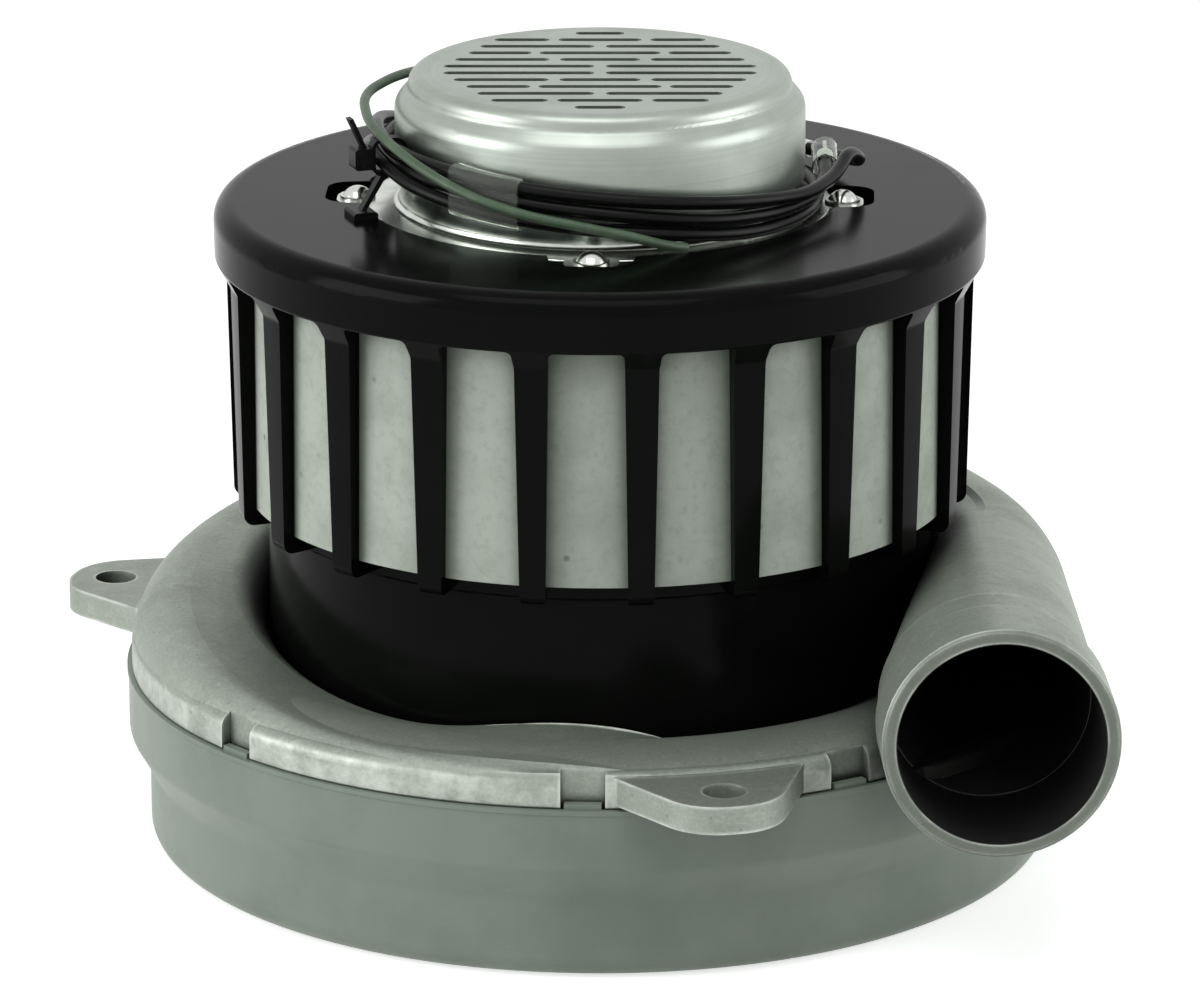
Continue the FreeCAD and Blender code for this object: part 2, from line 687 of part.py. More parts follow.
def make_horn_casting():
    """The cast bracket: plate, rim, spigot, growing volute, tangential horn, ears and bearing boss."""
    body = new_body("horn_casting")
    spigot_r = band_inner_r - of.spigot_gap
    spigot_low = of.stator_high + 0.2
    spun(body, "plate_and_rim", Drawing(body, "plate_section").outline([
        (of.bearing_r - 2.8, of.seam_height),
        (spigot_r - of.spigot_wall, of.seam_height),
        (spigot_r - of.spigot_wall, spigot_low),
        (spigot_r, spigot_low),
        (spigot_r, of.seam_height),
        (of.rim_r, of.seam_height, 0.6),
        (of.rim_r, rim_top, of.rim_round),
        (of.rim_r - of.rim_round - 0.4, rim_top),
        (of.throat_r, plate_top),
        (of.boss_r, plate_top, 2.5),
        (of.boss_r, bearing_low_top, 1.0),
        (seat_r, bearing_low_top),
        (seat_r, of.bearing_low),
        (of.bearing_r - 1.5, of.bearing_low),
        (of.bearing_r - 1.5, seal_floor),
        (of.bearing_r - 2.8, seal_floor),
    ], {7: sized(31.0)}))
    ear = Drawing(body, "ear_shape", "XY_Plane", lift=of.ear_top - of.ear_thick,
                  spin=of.ear_azimuth + 180)
    ear_foot = of.rim_r - 2.5
    ear.outline([
        (-of.ear_root, ear_foot), (of.ear_root, ear_foot),
        (of.ear_tip, of.ear_reach, of.ear_round), (-of.ear_tip, of.ear_reach, of.ear_round)])
    lug = pad(body, "ear", ear, of.ear_thick)
    around(body, "ears", [lug], 3)
    hole = Drawing(body, "ear_hole_shape", "XY_Plane", lift=of.ear_top + 1,
                   spin=of.ear_azimuth + 180).circle(0, of.ear_circle_r, of.ear_hole_r)
    drilled = pocket(body, "ear_hole", hole, of.ear_thick + 2)
    around(body, "ear_holes", [drilled], 3)
    screw = Drawing(body, "frame_screw_hole", "XY_Plane", lift=plate_top + 1,
                    spin=45).circle(0, of.screw_circle_r, of.screw_shank_r + of.fit_gap)
    around(body, "frame_holes", [pocket(body, "frame_hole", screw, of.plate_thick + 2)],
           of.screw_count)
    screw = Drawing(body, "retainer_hole", "XY_Plane", lift=bearing_low_top + 1).circle(
        0, of.boss_r - 3.4, 1.2 + of.fit_gap)
    around(body, "retainer_holes", [pocket(body, "retainer_drill", screw, 7)], 3)
    lofted(body, "volute", volute_sections(body, "volute_section", 0, of.seam_height + 0.8))
    lofted(body, "horn_root", horn_sections(body, "horn_section", 0, 0, 0))
    pipe_back = of.pipe_length + 0.5
    pad(body, "pipe", horn_disc(body, "pipe_circle", of.horn_r, pipe_back), pipe_back)
    collar = Drawing(body, "collar_section", "XY_Plane", spin=180 + of.horn_toe,
                     at=(of.horn_x, -of.horn_y, of.horn_z))
    spun(body, "collar", collar.outline([
        (0, -of.collar_length - of.collar_blend),
        (of.horn_r - 0.4, -of.collar_length - of.collar_blend),
        (of.collar_r, -of.collar_length),
        (of.collar_r, -of.collar_edge),
        (of.collar_r - of.collar_edge, 0),
        (0, 0)]))
    lofted(body, "volute_channel", volute_sections(
        body, "channel_section", of.cast_wall, of.seam_height - 1), "SubtractiveLoft")
    lofted(body, "horn_channel", horn_sections(
        body, "horn_bore_section", of.cast_wall, of.horn_r - of.horn_bore_r, 0), "SubtractiveLoft")
    pocket(body, "horn_bore", horn_disc(body, "bore_circle", of.horn_bore_r, 0), pipe_back)
    for k, azimuth in enumerate(stake_azimuths):
        notch = Drawing(body, f"notch_shape_{k}", lift=of.rim_r - of.stake_depth, turn=azimuth)
        half = of.stake_width / 2
        low, high = of.seam_height - 1, rim_top + 1.2
        notch.outline([(-half, low), (half, low), (half, high), (-half, high)])
        pocket(body, f"notch_{k}", notch, 5, Reversed=True)
    inside = Drawing(body, "chamber_relief").outline([
        (0, spigot_low - 8), (spigot_r - of.spigot_wall, spigot_low - 8),
        (spigot_r - of.spigot_wall, of.seam_height), (0, of.seam_height)])
    spun(body, "chamber", inside, "Groove")
    outside_r = of.shell_band_r + of.lip_reach + 0.4
    band = Drawing(body, "band_relief").outline([
        (spigot_r, spigot_low - 8), (outside_r, spigot_low - 8),
        (outside_r, of.seam_height), (spigot_r, of.seam_height)])
    spun(body, "band_room", band, "Groove")
    step = Drawing(body, "step_section", turn=37.0 - 90).outline([
        (spigot_r - 0.6, of.seam_height), (outside_r, of.seam_height),
        (outside_r, of.seam_height - 1.7), (outside_r + 2.2, of.seam_height - 1.7),
        (outside_r + 2.2, of.seam_height + 2.2, 1.0), (spigot_r - 0.6, of.seam_height + 2.2)])
    spun(body, "step_in_horn", step).Angle = 21
    clear_sleeve, clear_feet = of.sleeve_r + of.soft_gap, of.rib_top_r + of.soft_gap
    under_feet = of.foot_bottom - of.soft_gap
    room = Drawing(body, "shroud_relief").outline([
        (of.frame_foot_r + 2, plate_top), (clear_sleeve, plate_top), (clear_sleeve, under_feet),
        (clear_feet, under_feet), (clear_feet, of.skirt_bottom), (of.frame_foot_r + 2, of.skirt_bottom)])
    spun(body, "shroud_room", room, "Groove")
    return body


def make_impeller(label, low, high, hub_low):
    """Two spun discs with backward-curved blades between them, on a hub. Its eye faces down."""
    body = new_body(label)
    disc, edge = of.disc_thick, of.impeller_r
    spun(body, "back_disc", Drawing(body, "back_section").outline([
        (bore_r, hub_low), (of.hub_r, hub_low), (of.hub_r, high - disc, 2.0),
        (edge, high - disc), (edge, high), (bore_r, high)]))
    inner, outer = of.impeller_eye_r + 1.5, edge - 0.8
    wide_in, wide_out = blade_angles(of.blade_thick, inner, outer)
    blade = Drawing(body, "blade_shape", "XY_Plane", lift=low + disc / 2).outline([
        polar(inner, sized(0)), polar(outer, of.blade_sweep),
        polar(outer, of.blade_sweep + wide_out), polar(inner, wide_in)],
        {0: of.blade_bow, 2: -of.blade_bow})
    around(body, "blades", [pad(body, "blade", blade, high - low - disc)], of.blade_count)
    lip_in = of.impeller_eye_r - disc
    spun(body, "front_disc", Drawing(body, "front_section").outline([
        (lip_in, low - of.impeller_lip), (of.impeller_eye_r, low - of.impeller_lip),
        (of.impeller_eye_r, low, 0.6), (edge, low), (edge, low + disc), (lip_in, low + disc, 1.5)]))
    return body


def blade_angles(thick, inner, outer):
    """The angles that a blade's thickness spans at its inner and outer ends."""
    degree = 180 / math.pi
    return thick * degree / inner, thick * degree / outer


def make_stationary_fan():
    """Two plates with return vanes, seated on the shell's step between the impellers."""
    body = new_body("stationary_fan")
    plate = of.stator_plate
    ring_out = band_inner_r - 0.95
    low, high = of.stator_low, of.stator_high
    spun(body, "lower_plate", Drawing(body, "lower_section").outline([
        (9.2, low), (of.stator_return_r, low), (of.stator_return_r, low + plate),
        (9.2, low + plate)]))
    inner, outer = of.impeller_eye_r + 4, of.stator_return_r - 1
    wide_in, wide_out = blade_angles(of.blade_thick, inner, outer)
    vane = Drawing(body, "vane_shape", "XY_Plane", lift=low + plate / 2).outline([
        polar(inner, sized(0)), polar(outer, -of.vane_sweep),
        polar(outer, wide_out - of.vane_sweep), polar(inner, wide_in)],
        {0: -of.blade_bow, 2: of.blade_bow})
    around(body, "vanes", [pad(body, "vane", vane, high - low - plate)], of.vane_count)
    spun(body, "upper_plate", Drawing(body, "upper_section").outline([
        (of.impeller_eye_r + 1.2, high - plate), (ring_out, high - plate), (ring_out, high),
        (of.impeller_eye_r + 1.2, high)]))
    return body


def make_bearing(name, low):
    """Inner race, outer race, cage and balls of a deep-groove ball bearing."""
    high, middle = low + of.bearing_width, low + of.bearing_width / 2
    groove = of.ball_r + of.groove_gap
    inside = root(groove * groove - (of.ball_circle_r - of.inner_race_r)
                  * (of.ball_circle_r - of.inner_race_r))
    outside = root(groove * groove - (of.outer_race_r - of.ball_circle_r)
                   * (of.outer_race_r - of.ball_circle_r))
    turned(f"{name}_inner_race", [
        (bore_r, low), (of.inner_race_r, low), (of.inner_race_r, middle - inside),
        (of.inner_race_r, middle + inside), (of.inner_race_r, high), (bore_r, high)], {2: -groove})
    turned(f"{name}_outer_race", [
        (of.outer_race_r, low), (of.bearing_r, low), (of.bearing_r, high), (of.outer_race_r, high),
        (of.outer_race_r, middle + outside), (of.outer_race_r, middle - outside)], {4: -groove})
    cage = turned(f"{name}_ball_cage", [
        (of.ball_circle_r - of.cage_wall / 2, middle - of.cage_half),
        (of.ball_circle_r + of.cage_wall / 2, middle - of.cage_half),
        (of.ball_circle_r + of.cage_wall / 2, middle + of.cage_half),
        (of.ball_circle_r - of.cage_wall / 2, middle + of.cage_half)])
    hole = Drawing(cage, "ball_hole_shape", lift=of.ball_circle_r - 2).circle(
        0, middle, of.ball_r + 0.12)
    around(cage, "ball_holes", [pocket(cage, "ball_hole", hole, 4, Reversed=True)], of.ball_count)
    balls = []
    for k in range(round(of.ball_count.number)):
        ball = doc.addObject("Part::Sphere", f"{name}_ball_{k}")
        angle = 360 * k / of.ball_count
        bind(ball, "Radius", of.ball_r)
        ball.Radius = of.ball_r.number
        bind(ball, "Placement.Base.x", of.ball_circle_r * sine(angle))
        bind(ball, "Placement.Base.y", -of.ball_circle_r * cosine(angle))
        bind(ball, "Placement.Base.z", middle)
        balls.append(ball)
    group = doc.addObject("Part::Compound", f"{name}_balls")
    group.Links = balls


def make_screws(label, circle_r, azimuth, count, seat, shank, shank_r, head_r, head, angle=360):
    """A ring of screws: shanks below the seat, domed heads with a flange above it."""
    body = new_body(label)
    stem = Drawing(body, "shank_circle", "XY_Plane", lift=seat, spin=azimuth + 180).circle(
        0, circle_r, shank_r)
    inner_r, flange = 0.82 * head_r, 0.25 * head
    dome = head - flange
    top = Drawing(body, "head_section", at=(circle_r * sine(azimuth), 0, circle_r * cosine(azimuth)))
    top.outline([
        (0, seat), (head_r, seat), (head_r, seat + flange), (inner_r, seat + flange),
        (0, seat + head)], {3: (inner_r * inner_r + dome * dome) / (2 * dome)})
    parts = [spun(body, "head", top), pad(body, "shank", stem, shank, Reversed=True)]
    around(body, "screws", parts, count)
    return body


def make_shaft_stack():
    """The shaft and what its nut clamps at the fan end, from the nut up."""
    turned("shaft", [
        (0, of.shaft_low), (of.shaft_r, of.shaft_low, 0.5), (of.shaft_r, bearing_low_top),
        (of.shaft_mid_r, bearing_low_top), (of.shaft_mid_r, of.bearing_high),
        (of.shaft_r, of.bearing_high), (of.shaft_r, of.shaft_high, 0.5), (0, of.shaft_high)])
    hub_low = of.first_low + 5.9
    washer_low = hub_low - 1.5
    make_nut("impeller_nut", washer_low - 5.0, washer_low, 6.5)
    ring("impeller_washer", bore_r, of.hub_r - 1, washer_low, hub_low)
    make_impeller("first_impeller", of.first_low, of.first_high, hub_low)
    second_hub = of.second_high - 6.8
    ring("impeller_spacer", bore_r, of.ball_circle_r, of.first_high, second_hub)
    make_impeller("second_impeller", of.second_low, of.second_high, second_hub)
    ring("bearing_spacer", bore_r, of.inner_race_r, of.second_high, of.bearing_low)


def make_nut(label, low, high, half):
    """A hexagon nut on the shaft, half as wide across its flats as twice the given size."""
    body = new_body(label)
    corners = [polar(half / cosine(30), sized(60 * k)) for k in range(6)]
    pad(body, "hexagon", Drawing(body, "hexagon_shape", "XY_Plane", lift=low).outline(corners),
        high - low)
    hole = Drawing(body, "bore_shape", "XY_Plane", lift=high).circle(0, 0, bore_r)
    pocket(body, "bore", hole, high - low + 1)
    return body


def make_seal_and_retainer():
    ring("shaft_seal", of.inner_race_r + 0.3, of.bearing_r - 1.55, seal_floor, of.bearing_low - 0.2)
    plate_high = bearing_low_top + 1.2
    body = ring("bearing_retainer", of.outer_race_r + 0.3, of.boss_r - 1, bearing_low_top, plate_high)
    hole = Drawing(body, "screw_hole_shape", "XY_Plane", lift=plate_high + 1).circle(
        0, of.boss_r - 3.4, 1.4)
    around(body, "screw_holes", [pocket(body, "screw_hole", hole, 4)], 3)
    make_screws("retainer_screws", of.boss_r - 3.4, sized(180), 3, plate_high, 6, 1.2, 2.3, 1.6)


def make_motor_frame():
    """Drawn housing round the field, with a foot on the casting, vents and lugs at the top."""
    body = new_body("motor_frame")
    inner = of.frame_r - of.frame_wall
    foot_top = plate_top + of.frame_foot_thick
    spun(body, "housing", Drawing(body, "housing_section").outline([
        (inner, plate_top), (of.frame_foot_r, plate_top), (of.frame_foot_r, foot_top, 0.8),
        (of.frame_r, foot_top, 0.8), (of.frame_r, frame_top), (inner, frame_top)]))
    lug_top = of.pocket_floor - of.tab_thick - 0.1
    lug = Drawing(body, "lug_shape", "XY_Plane", lift=lug_top, spin=of.screw_azimuth + 180)
    half = of.flange_ear_half
    lug.outline([(-half, of.frame_r - 1), (half, of.frame_r - 1),
                 (half, of.flange_ear_r, 4.5), (-half, of.flange_ear_r, 4.5)])
    around(body, "lugs", [pad(body, "lug", lug, 3.4, Reversed=True)], of.screw_count)
    tapped = Drawing(body, "tapped_shape", "XY_Plane", lift=lug_top + 1,
                     spin=of.screw_azimuth + 180).circle(
        0, of.screw_circle_r, of.screw_shank_r + of.fit_gap)
    around(body, "tapped_holes", [pocket(body, "tapped_hole", tapped, 6)], of.screw_count)
    hole = Drawing(body, "foot_hole_shape", "XY_Plane", lift=foot_top + 1, spin=45).circle(
        0, of.screw_circle_r, clear_r)
    around(body, "foot_holes", [pocket(body, "foot_hole", hole, 6)], of.screw_count)
    vent = Drawing(body, "vent_shape", lift=inner - 10, turn=30)
    wide = of.frame_vent_half
    vent.outline([(-wide, of.frame_vent_low, 2), (wide, of.frame_vent_low, 2),
                  (wide, of.frame_vent_high, 2), (-wide, of.frame_vent_high, 2)])
    around(body, "vents", [pocket(body, "vent", vent, 20, Reversed=True)], of.frame_vents)
    make_screws("frame_screws", of.screw_circle_r, sized(45), of.screw_count, foot_top,
                of.frame_foot_thick + of.plate_thick - 0.6, of.screw_shank_r, 3.0, 2.4)
    return body


def sector(body, name, lift, inner, outer, start, end):
    """A ring sector on a level plane, between two angles from the X axis."""
    return Drawing(body, name, "XY_Plane", lift=lift).outline(
        [polar(inner, start), polar(outer, start), polar(outer, end), polar(inner, end)],
        {1: outer, 3: -inner})


def make_field():
    """Laminated two-pole field and its two coils."""
    body = new_body("field_core")
    height = of.core_high - of.core_low
    outer = of.frame_r - of.frame_wall - 0.1
    bore = of.core_r + of.air_gap
    disc = Drawing(body, "lamination", "XY_Plane", lift=of.core_low).circle(0, 0, outer)
    pad(body, "stack", disc, height)
    hole = Drawing(body, "bore_shape", "XY_Plane", lift=of.core_high).circle(0, 0, bore)
    pocket(body, "bore", hole, height + 1)
    window = sector(body, "window_shape", of.core_high, bore - 1, of.yoke_r,
                    of.pole_half, 180 - of.pole_half)
    cut = pocket(body, "window", window, height + 1)
    mirrored(body, "windows", [cut], "XZ_Plane")
    for side, turn in (("right", 0), ("left", 180)):
        coil = new_body(f"field_coil_{side}")
        head = of.coil_head
        whole = sector(coil, "coil_shape", of.core_low - head, of.coil_in_r, of.coil_out_r,
                       turn - of.coil_half, turn + of.coil_half)
        pad(coil, "coil", whole, height + 2 * head)
        gap = of.pole_half + 3
        middle = sector(coil, "pole_room_shape", of.core_high + 0.3, of.coil_in_r - 2,
                        of.coil_out_r + 2, turn - gap, turn + gap)
        pocket(coil, "pole_room", middle, height + 0.6)


def make_armature():
    """Slotted core, winding with its two heads, and the commutator."""
    core = new_body("armature_core")
    height = of.core_high - of.core_low
    held_r = of.shaft_mid_r + of.fit_gap
    disc = Drawing(core, "lamination", "XY_Plane", lift=of.core_low).circle(0, 0, of.core_r)
    pad(core, "stack", disc, height)
    hole = Drawing(core, "bore_shape", "XY_Plane", lift=of.core_high).circle(0, 0, held_r)
    pocket(core, "bore", hole, height + 1)
    half = of.slot_width / 2
    slot = Drawing(core, "slot_shape", "XY_Plane", lift=of.core_high).outline([
        (of.slot_root_r, -half), (of.core_r + 2, -half), (of.core_r + 2, half),
        (of.slot_root_r, half)])
    around(core, "slots", [pocket(core, "slot", slot, height + 1)], of.core_slots)

    winding = new_body("armature_winding")
    gap = of.winding_gap
    low, high = of.core_low - gap, of.core_high + gap
    outer, inner = of.core_r - 1.2, of.shaft_mid_r + 1.0
    head = of.winding_head
    spun(winding, "lower_head", Drawing(winding, "lower_head_section").outline([
        (inner, low - head, 1.5), (outer, low - head, 4.0), (outer, low), (inner, low)]))
    bar = Drawing(winding, "bar_shape", "XY_Plane", lift=low - 1).outline([
        (of.slot_root_r + gap, gap - half), (outer, gap - half), (outer, half - gap),
        (of.slot_root_r + gap, half - gap)])
    around(winding, "bars", [pad(winding, "bar", bar, high - low + 2)], of.core_slots)
    spun(winding, "upper_head", Drawing(winding, "upper_head_section").outline([
        (inner, high), (outer, high), (outer, high + head, 4.0), (inner, high + head, 1.5)]))

    copper = turned("commutator", [
        (held_r, of.copper_low), (of.riser_r, of.copper_low),
        (of.riser_r, of.copper_low + of.riser_height),
        (of.copper_r, of.copper_low + of.riser_height), (of.copper_r, of.copper_high, 0.5),
        (held_r, of.copper_high)])
    half = of.bar_gap / 2
    groove = Drawing(copper, "gap_shape", "XY_Plane", lift=of.copper_high + 1).outline([
        (of.copper_r - 1.2, -half), (of.riser_r + 1, -half), (of.riser_r + 1, half),
        (of.copper_r - 1.2, half)])
    around(copper, "gaps", [pocket(
        copper, "gap", groove, of.copper_high - of.copper_low - 0.5)], of.bar_count)


def make_cooling_fan():
    """Fan under the vent cap, held on the shaft by a nut."""
    body = new_body("cooling_fan")
    low, blade_top = of.cooler_low, of.cooler_high
    hub_top = blade_top - 2.5
    spun(body, "disc_and_hub", Drawing(body, "disc_section").outline([
        (bore_r, bearing_high_top), (of.inner_race_r, bearing_high_top), (of.inner_race_r, low),
        (of.cooler_r, low), (of.cooler_r, low + 1.1), (9.5, low + 1.1, 1.5), (9.5, hub_top, 0.6),
        (bore_r, hub_top)]))
    inner, outer = sized(13.0), of.cooler_r - 0.6
    wide_in, wide_out = blade_angles(of.blade_thick, inner, outer)
    turn = sized(24)
    blade = Drawing(body, "blade_shape", "XY_Plane", lift=low + 0.6).outline([
        polar(inner, sized(0)), polar(outer, turn), polar(outer, turn + wide_out),
        polar(inner, wide_in)], {0: sized(34.0), 2: sized(-34.0)})
    around(body, "blades", [pad(body, "blade", blade, blade_top - low - 0.6)], of.cooler_blades)
    make_nut("cooling_fan_nut", hub_top, of.shaft_high - 0.8, 6.0)
    return body


def make_commutator_bracket():
    """Bright bracket over the commutator: flange, neck, spokes and the upper bearing's boss."""
    body = new_body("commutator_bracket")
    neck_in = of.neck_r - of.neck_wall
    plate_high = frame_top + of.spoke_plate
    spun(body, "neck_and_flange", Drawing(body, "neck_section").outline([
        (of.shaft_mid_r + 2, frame_top), (of.flange_r, frame_top),
        (of.flange_r, of.flange_top, 0.4), (of.neck_r, of.flange_top, 1.6),
        (of.neck_r, of.neck_top, 0.6), (neck_in, of.neck_top), (neck_in, plate_high, 1.0),
        (of.bracket_boss_r, plate_high, 1.5), (of.bracket_boss_r, bearing_high_top, 0.8),
        (seat_r, bearing_high_top), (seat_r, of.bearing_high), (of.shaft_mid_r + 2, of.bearing_high)]))
    turn = of.screw_azimuth + 180
    half = of.flange_ear_half
    ear = Drawing(body, "ear_shape", "XY_Plane", lift=frame_top, spin=turn).outline([
        (-half, of.flange_r - 2), (half, of.flange_r - 2),
        (half, of.flange_ear_r, 4.5), (-half, of.flange_ear_r, 4.5)])
    around(body, "ears", [pad(body, "ear", ear, of.flange_thick)], of.screw_count)
    hole = Drawing(body, "screw_hole_shape", "XY_Plane", lift=of.flange_top + 1, spin=turn).circle(
        0, of.screw_circle_r, clear_r)
    around(body, "screw_holes", [pocket(body, "screw_hole", hole, 4)], of.screw_count)
    window = sector(body, "window_shape", plate_high, of.bracket_boss_r + 4, neck_in - 3,
                    sized(20.0), sized(70.0))
    around(body, "windows", [pocket(body, "window", window, of.spoke_plate + 1)], 4)
    holes = Drawing(body, "holder_hole_shape", "XY_Plane", lift=plate_high + 1)
    for x, y in holder_screw_spots:
        holes.circle(x, y, of.holder_screw_r + of.screw_play)
    pocket(body, "holder_holes", holes, of.spoke_plate + 2)
    passage = Drawing(body, "grommet_slot", lift=neck_in - 2, turn=of.grommet_azimuth)
    passage.slot(-of.lead_spread, of.lead_spread, of.grommet_height, of.grommet_half)
    pocket(body, "grommet_room", passage, 6, Reversed=True)
    return body


def make_holder_screws():
    """Screws that hold the brush holders under the bracket's spokes."""
    body = new_body("holder_screws")
    seat = frame_top + of.spoke_plate
    heads = Drawing(body, "head_circles", "XY_Plane", lift=seat)
    shanks = Drawing(body, "shank_circles", "XY_Plane", lift=seat)
    for x, y in holder_screw_spots:
        heads.circle(x, y, 2 * of.holder_screw_r)
        shanks.circle(x, y, of.holder_screw_r)
    pad(body, "heads", heads, 1.2)
    pad(body, "shanks", shanks, of.spoke_plate + 4, Reversed=True)
    return body


def make_grommet():
    """Rubber grommet in the neck, with a hole for each wire."""
    body = new_body("lead_grommet")
    neck_in = of.neck_r - of.neck_wall
    turn = of.grommet_azimuth
    half = of.grommet_half
    for name, start, end, rim in (
            ("inner_rim", neck_in - 2.0, neck_in - 1.1, 0.15),
            ("core", neck_in - 1.4, of.neck_r + 0.5, -0.05),
            ("outer_rim", of.neck_r + 0.2, of.neck_r + 1.0, 0.3)):
        shape = Drawing(body, f"{name}_shape", lift=start, turn=turn)
        shape.slot(-of.lead_spread, of.lead_spread, of.grommet_height, half + rim)
        pad(body, name, shape, end - start)
    holes = Drawing(body, "wire_holes", lift=neck_in - 2, turn=turn)
    for x, diameter in ((-of.lead_spread, of.earth_diameter), (0, of.lead_diameter),
                        (of.lead_spread, of.lead_diameter)):
        holes.circle(x, of.grommet_height, diameter / 2 + of.fit_gap)
    pocket(body, "holes", holes, 6, Reversed=True)
    return body


def spot(azimuth, radius, height, across=0):
    """The point at an azimuth, a radius and a height, moved across towards greater azimuths."""
    turn = math.radians(azimuth)
    return Vector(radius * math.sin(turn) + across * math.cos(turn),
                  -radius * math.cos(turn) + across * math.sin(turn), height)


def wire_start(across, radius):
    return spot(of.grommet_azimuth.number, radius, of.grommet_height.number,
                across * of.lead_spread.number)


# Each wire's way round the neck, as azimuth, radius and height of its turning points.
FIRST_LEAD = [
    (-147.5, 55.2, 150.8), (-139, 57.8, 152.6), (-124, 55.6, 157.6), (-105, 51.8, 162.0),
    (-84, 49.4, 162.8), (-62, 49.3, 162.8), (-38, 49.5, 162.0), (-13, 49.6, 160.5),
    (14, 49.7, 158.3), (41, 50.1, 155.8), (63, 51.6, 153.9), (79.4, 53.2, 154.9),
    (90.5, 55.4, 157.6), (98.3, 59.2, 153.2), (109, 58.0, 151.2), (120, 55.0, 151.0),
]
SECOND_LEAD = [
    (-142.6, 52.0, 150.8), (-133.5, 52.8, 151.4), (-118, 52.6, 153.9), (-97, 52.2, 158.4),
    (-76, 52.0, 160.9), (-54, 51.4, 157.2), (-32, 49.6, 154.6), (-8, 49.6, 153.0),
    (18, 49.7, 150.9), (42, 49.6, 148.5), (66, 49.6, 148.2), (92, 49.5, 148.2),
    (120, 49.6, 148.6), (148, 49.8, 149.8), (174, 50.4, 152.6), (198, 50.4, 155.6),
    (222, 50.0, 157.6), (246, 49.6, 159.0), (268, 49.3, 159.4), (290, 49.3, 159.4),
    (314, 49.5, 159.1), (338, 49.6, 157.9), (363, 49.7, 156.0), (389, 49.7, 152.9),
    (412, 49.7, 151.5), (432, 50.0, 151.5), (446, 50.3, 152.8), (456, 50.5, 153.5),
]
EARTH_WIRE = [
    (-154.0, 52.4, 154.0), (-150, 53.8, 160.5), (-136, 52.4, 167.6), (-115, 50.2, 169.9),
    (-94, 53.0, 169.6), (-75, 52.8, 167.7), (-60, 52.8, 165.7), (-46, 53.2, 162.6),
    (-32, 53.3, 159.0), (-18, 53.1, 156.2), (-4, 52.2, 154.0), (8, 51.8, 151.6),
    (15.5, 51.2, 149.3), (22, 49.9, 147.8),
]


def cord(label, route, diameter):
    """A flexible wire: straight runs joined by tangent arcs as large as the runs allow."""
    edges, radii = [], []
    start = route[0]
    for before, corner, after in zip(route, route[1:], route[2:]):
        back, on = before - corner, after - corner
        half_turn = (math.pi - back.getAngle(on)) / 2
        reach = 0.45 * min(back.Length, on.Length)
        radius = reach / math.tan(half_turn)
        inward = (back.normalize() + on.normalize()).normalize()
        arc_start, arc_end = corner + back * reach, corner + on * reach
        middle = corner + inward * (radius / math.cos(half_turn) - radius)
        edges.append(Part.LineSegment(start, arc_start).toShape())
        edges.append(Part.Arc(arc_start, middle, arc_end).toShape())
        radii.append(radius)
        start = arc_end
    edges.append(Part.LineSegment(start, route[-1]).toShape())
    path = Part.Wire(edges)
    section = Part.Circle(route[0], route[1] - route[0], diameter / 2)
    wire = doc.addObject("Part::Feature", label)
    wire.Shape = path.makePipeShell([Part.Wire([section.toShape()])], True, False)
    expected = math.pi * diameter ** 2 / 4 * path.Length
    print(f"{label}: {path.Length:.0f} mm long, bend radii {min(radii):.1f} to {max(radii):.0f} mm,"
          f" volume {wire.Shape.Volume / expected:.4f} of section times length")
    if abs(wire.Shape.Volume / expected - 1) > 0.005:
        raise RuntimeError(f"{label} isn't a whole tube")
    return route[-2], route[-1]


def make_terminal(name, before, end):
    """A crimped barrel with a flat blade, in line with the last run of its lead."""
    along = (end - before).normalize()
    frame = Placement(end, Rotation(Vector(0, 0, 1), along))
    barrel = doc.addObject("Part::Cylinder", f"{name}_barrel")
    bind(barrel, "Radius", of.lead_diameter / 2 + 0.4)
    barrel.Radius = (of.lead_diameter / 2 + 0.4).number
    barrel.Height = 4.5
    blade = doc.addObject("Part::Box", f"{name}_blade")
    blade.Length, blade.Width, blade.Height = 0.8, 4.0, 9.0
    blade.Placement = Placement(Vector(-0.4, -2.0, 0), Rotation())
    whole = doc.addObject("Part::Fuse", name)
    whole.Base, whole.Tool = barrel, blade
    whole.Placement = frame
    return whole


def make_end_sleeve(before, end):
    """Clear sleeve over the second lead's terminal."""
    along = (end - before).normalize()
    back = 3.0
    inner_r = of.lead_diameter / 2 + 1.15
    tubes = []
    for name, radius, extra in (("outside", inner_r + of.sleeve_skin, 0), ("inside", inner_r, 1)):
        tube = doc.addObject("Part::Cylinder", f"end_sleeve_{name}")
        bind(tube, "Radius", radius)
        tube.Radius = radius.number
        tube.Height = 13 + 2 * extra
        tube.Placement = Placement(Vector(0, 0, -extra), Rotation())
        tubes.append(tube)
    sleeve = doc.addObject("Part::Cut", "end_sleeve")
    sleeve.Base, sleeve.Tool = tubes
    sleeve.Placement = Placement(end - along * back, Rotation(Vector(0, 0, 1), along))
    return sleeve


def make_lead_sleeve():
    """Clear flattened sleeve over the three strands of lead at the front left."""
    body = new_body("lead_sleeve")
    reach = of.lead_diameter / 2 + 1.25
    middle_r = of.cap_r + 0.2 + reach
    for kind, name, inset in (("AdditiveLoft", "skin", 0), ("SubtractiveLoft", "room", 1)):
        sections = []
        for k, (azimuth, height, half) in enumerate((
                (-40, 158.9, 5.6), (-33.5, 158.3, 5.6), (-27, 157.8, 5.6), (-20.5, 157.3, 5.6))):
            wide = reach - inset * of.sleeve_skin
            tall = half - inset * of.sleeve_skin
            drawing = Drawing(body, f"{name}_{k}", turn=sized(azimuth) - 90)
            drawing.outline([
                (middle_r - wide, height - tall, 1.6), (middle_r + wide, height - tall, 1.6),
                (middle_r + wide, height + tall, 1.6), (middle_r - wide, height + tall, 1.6)])
            sections.append(drawing)
        lofted(body, name, sections, kind)
    return body


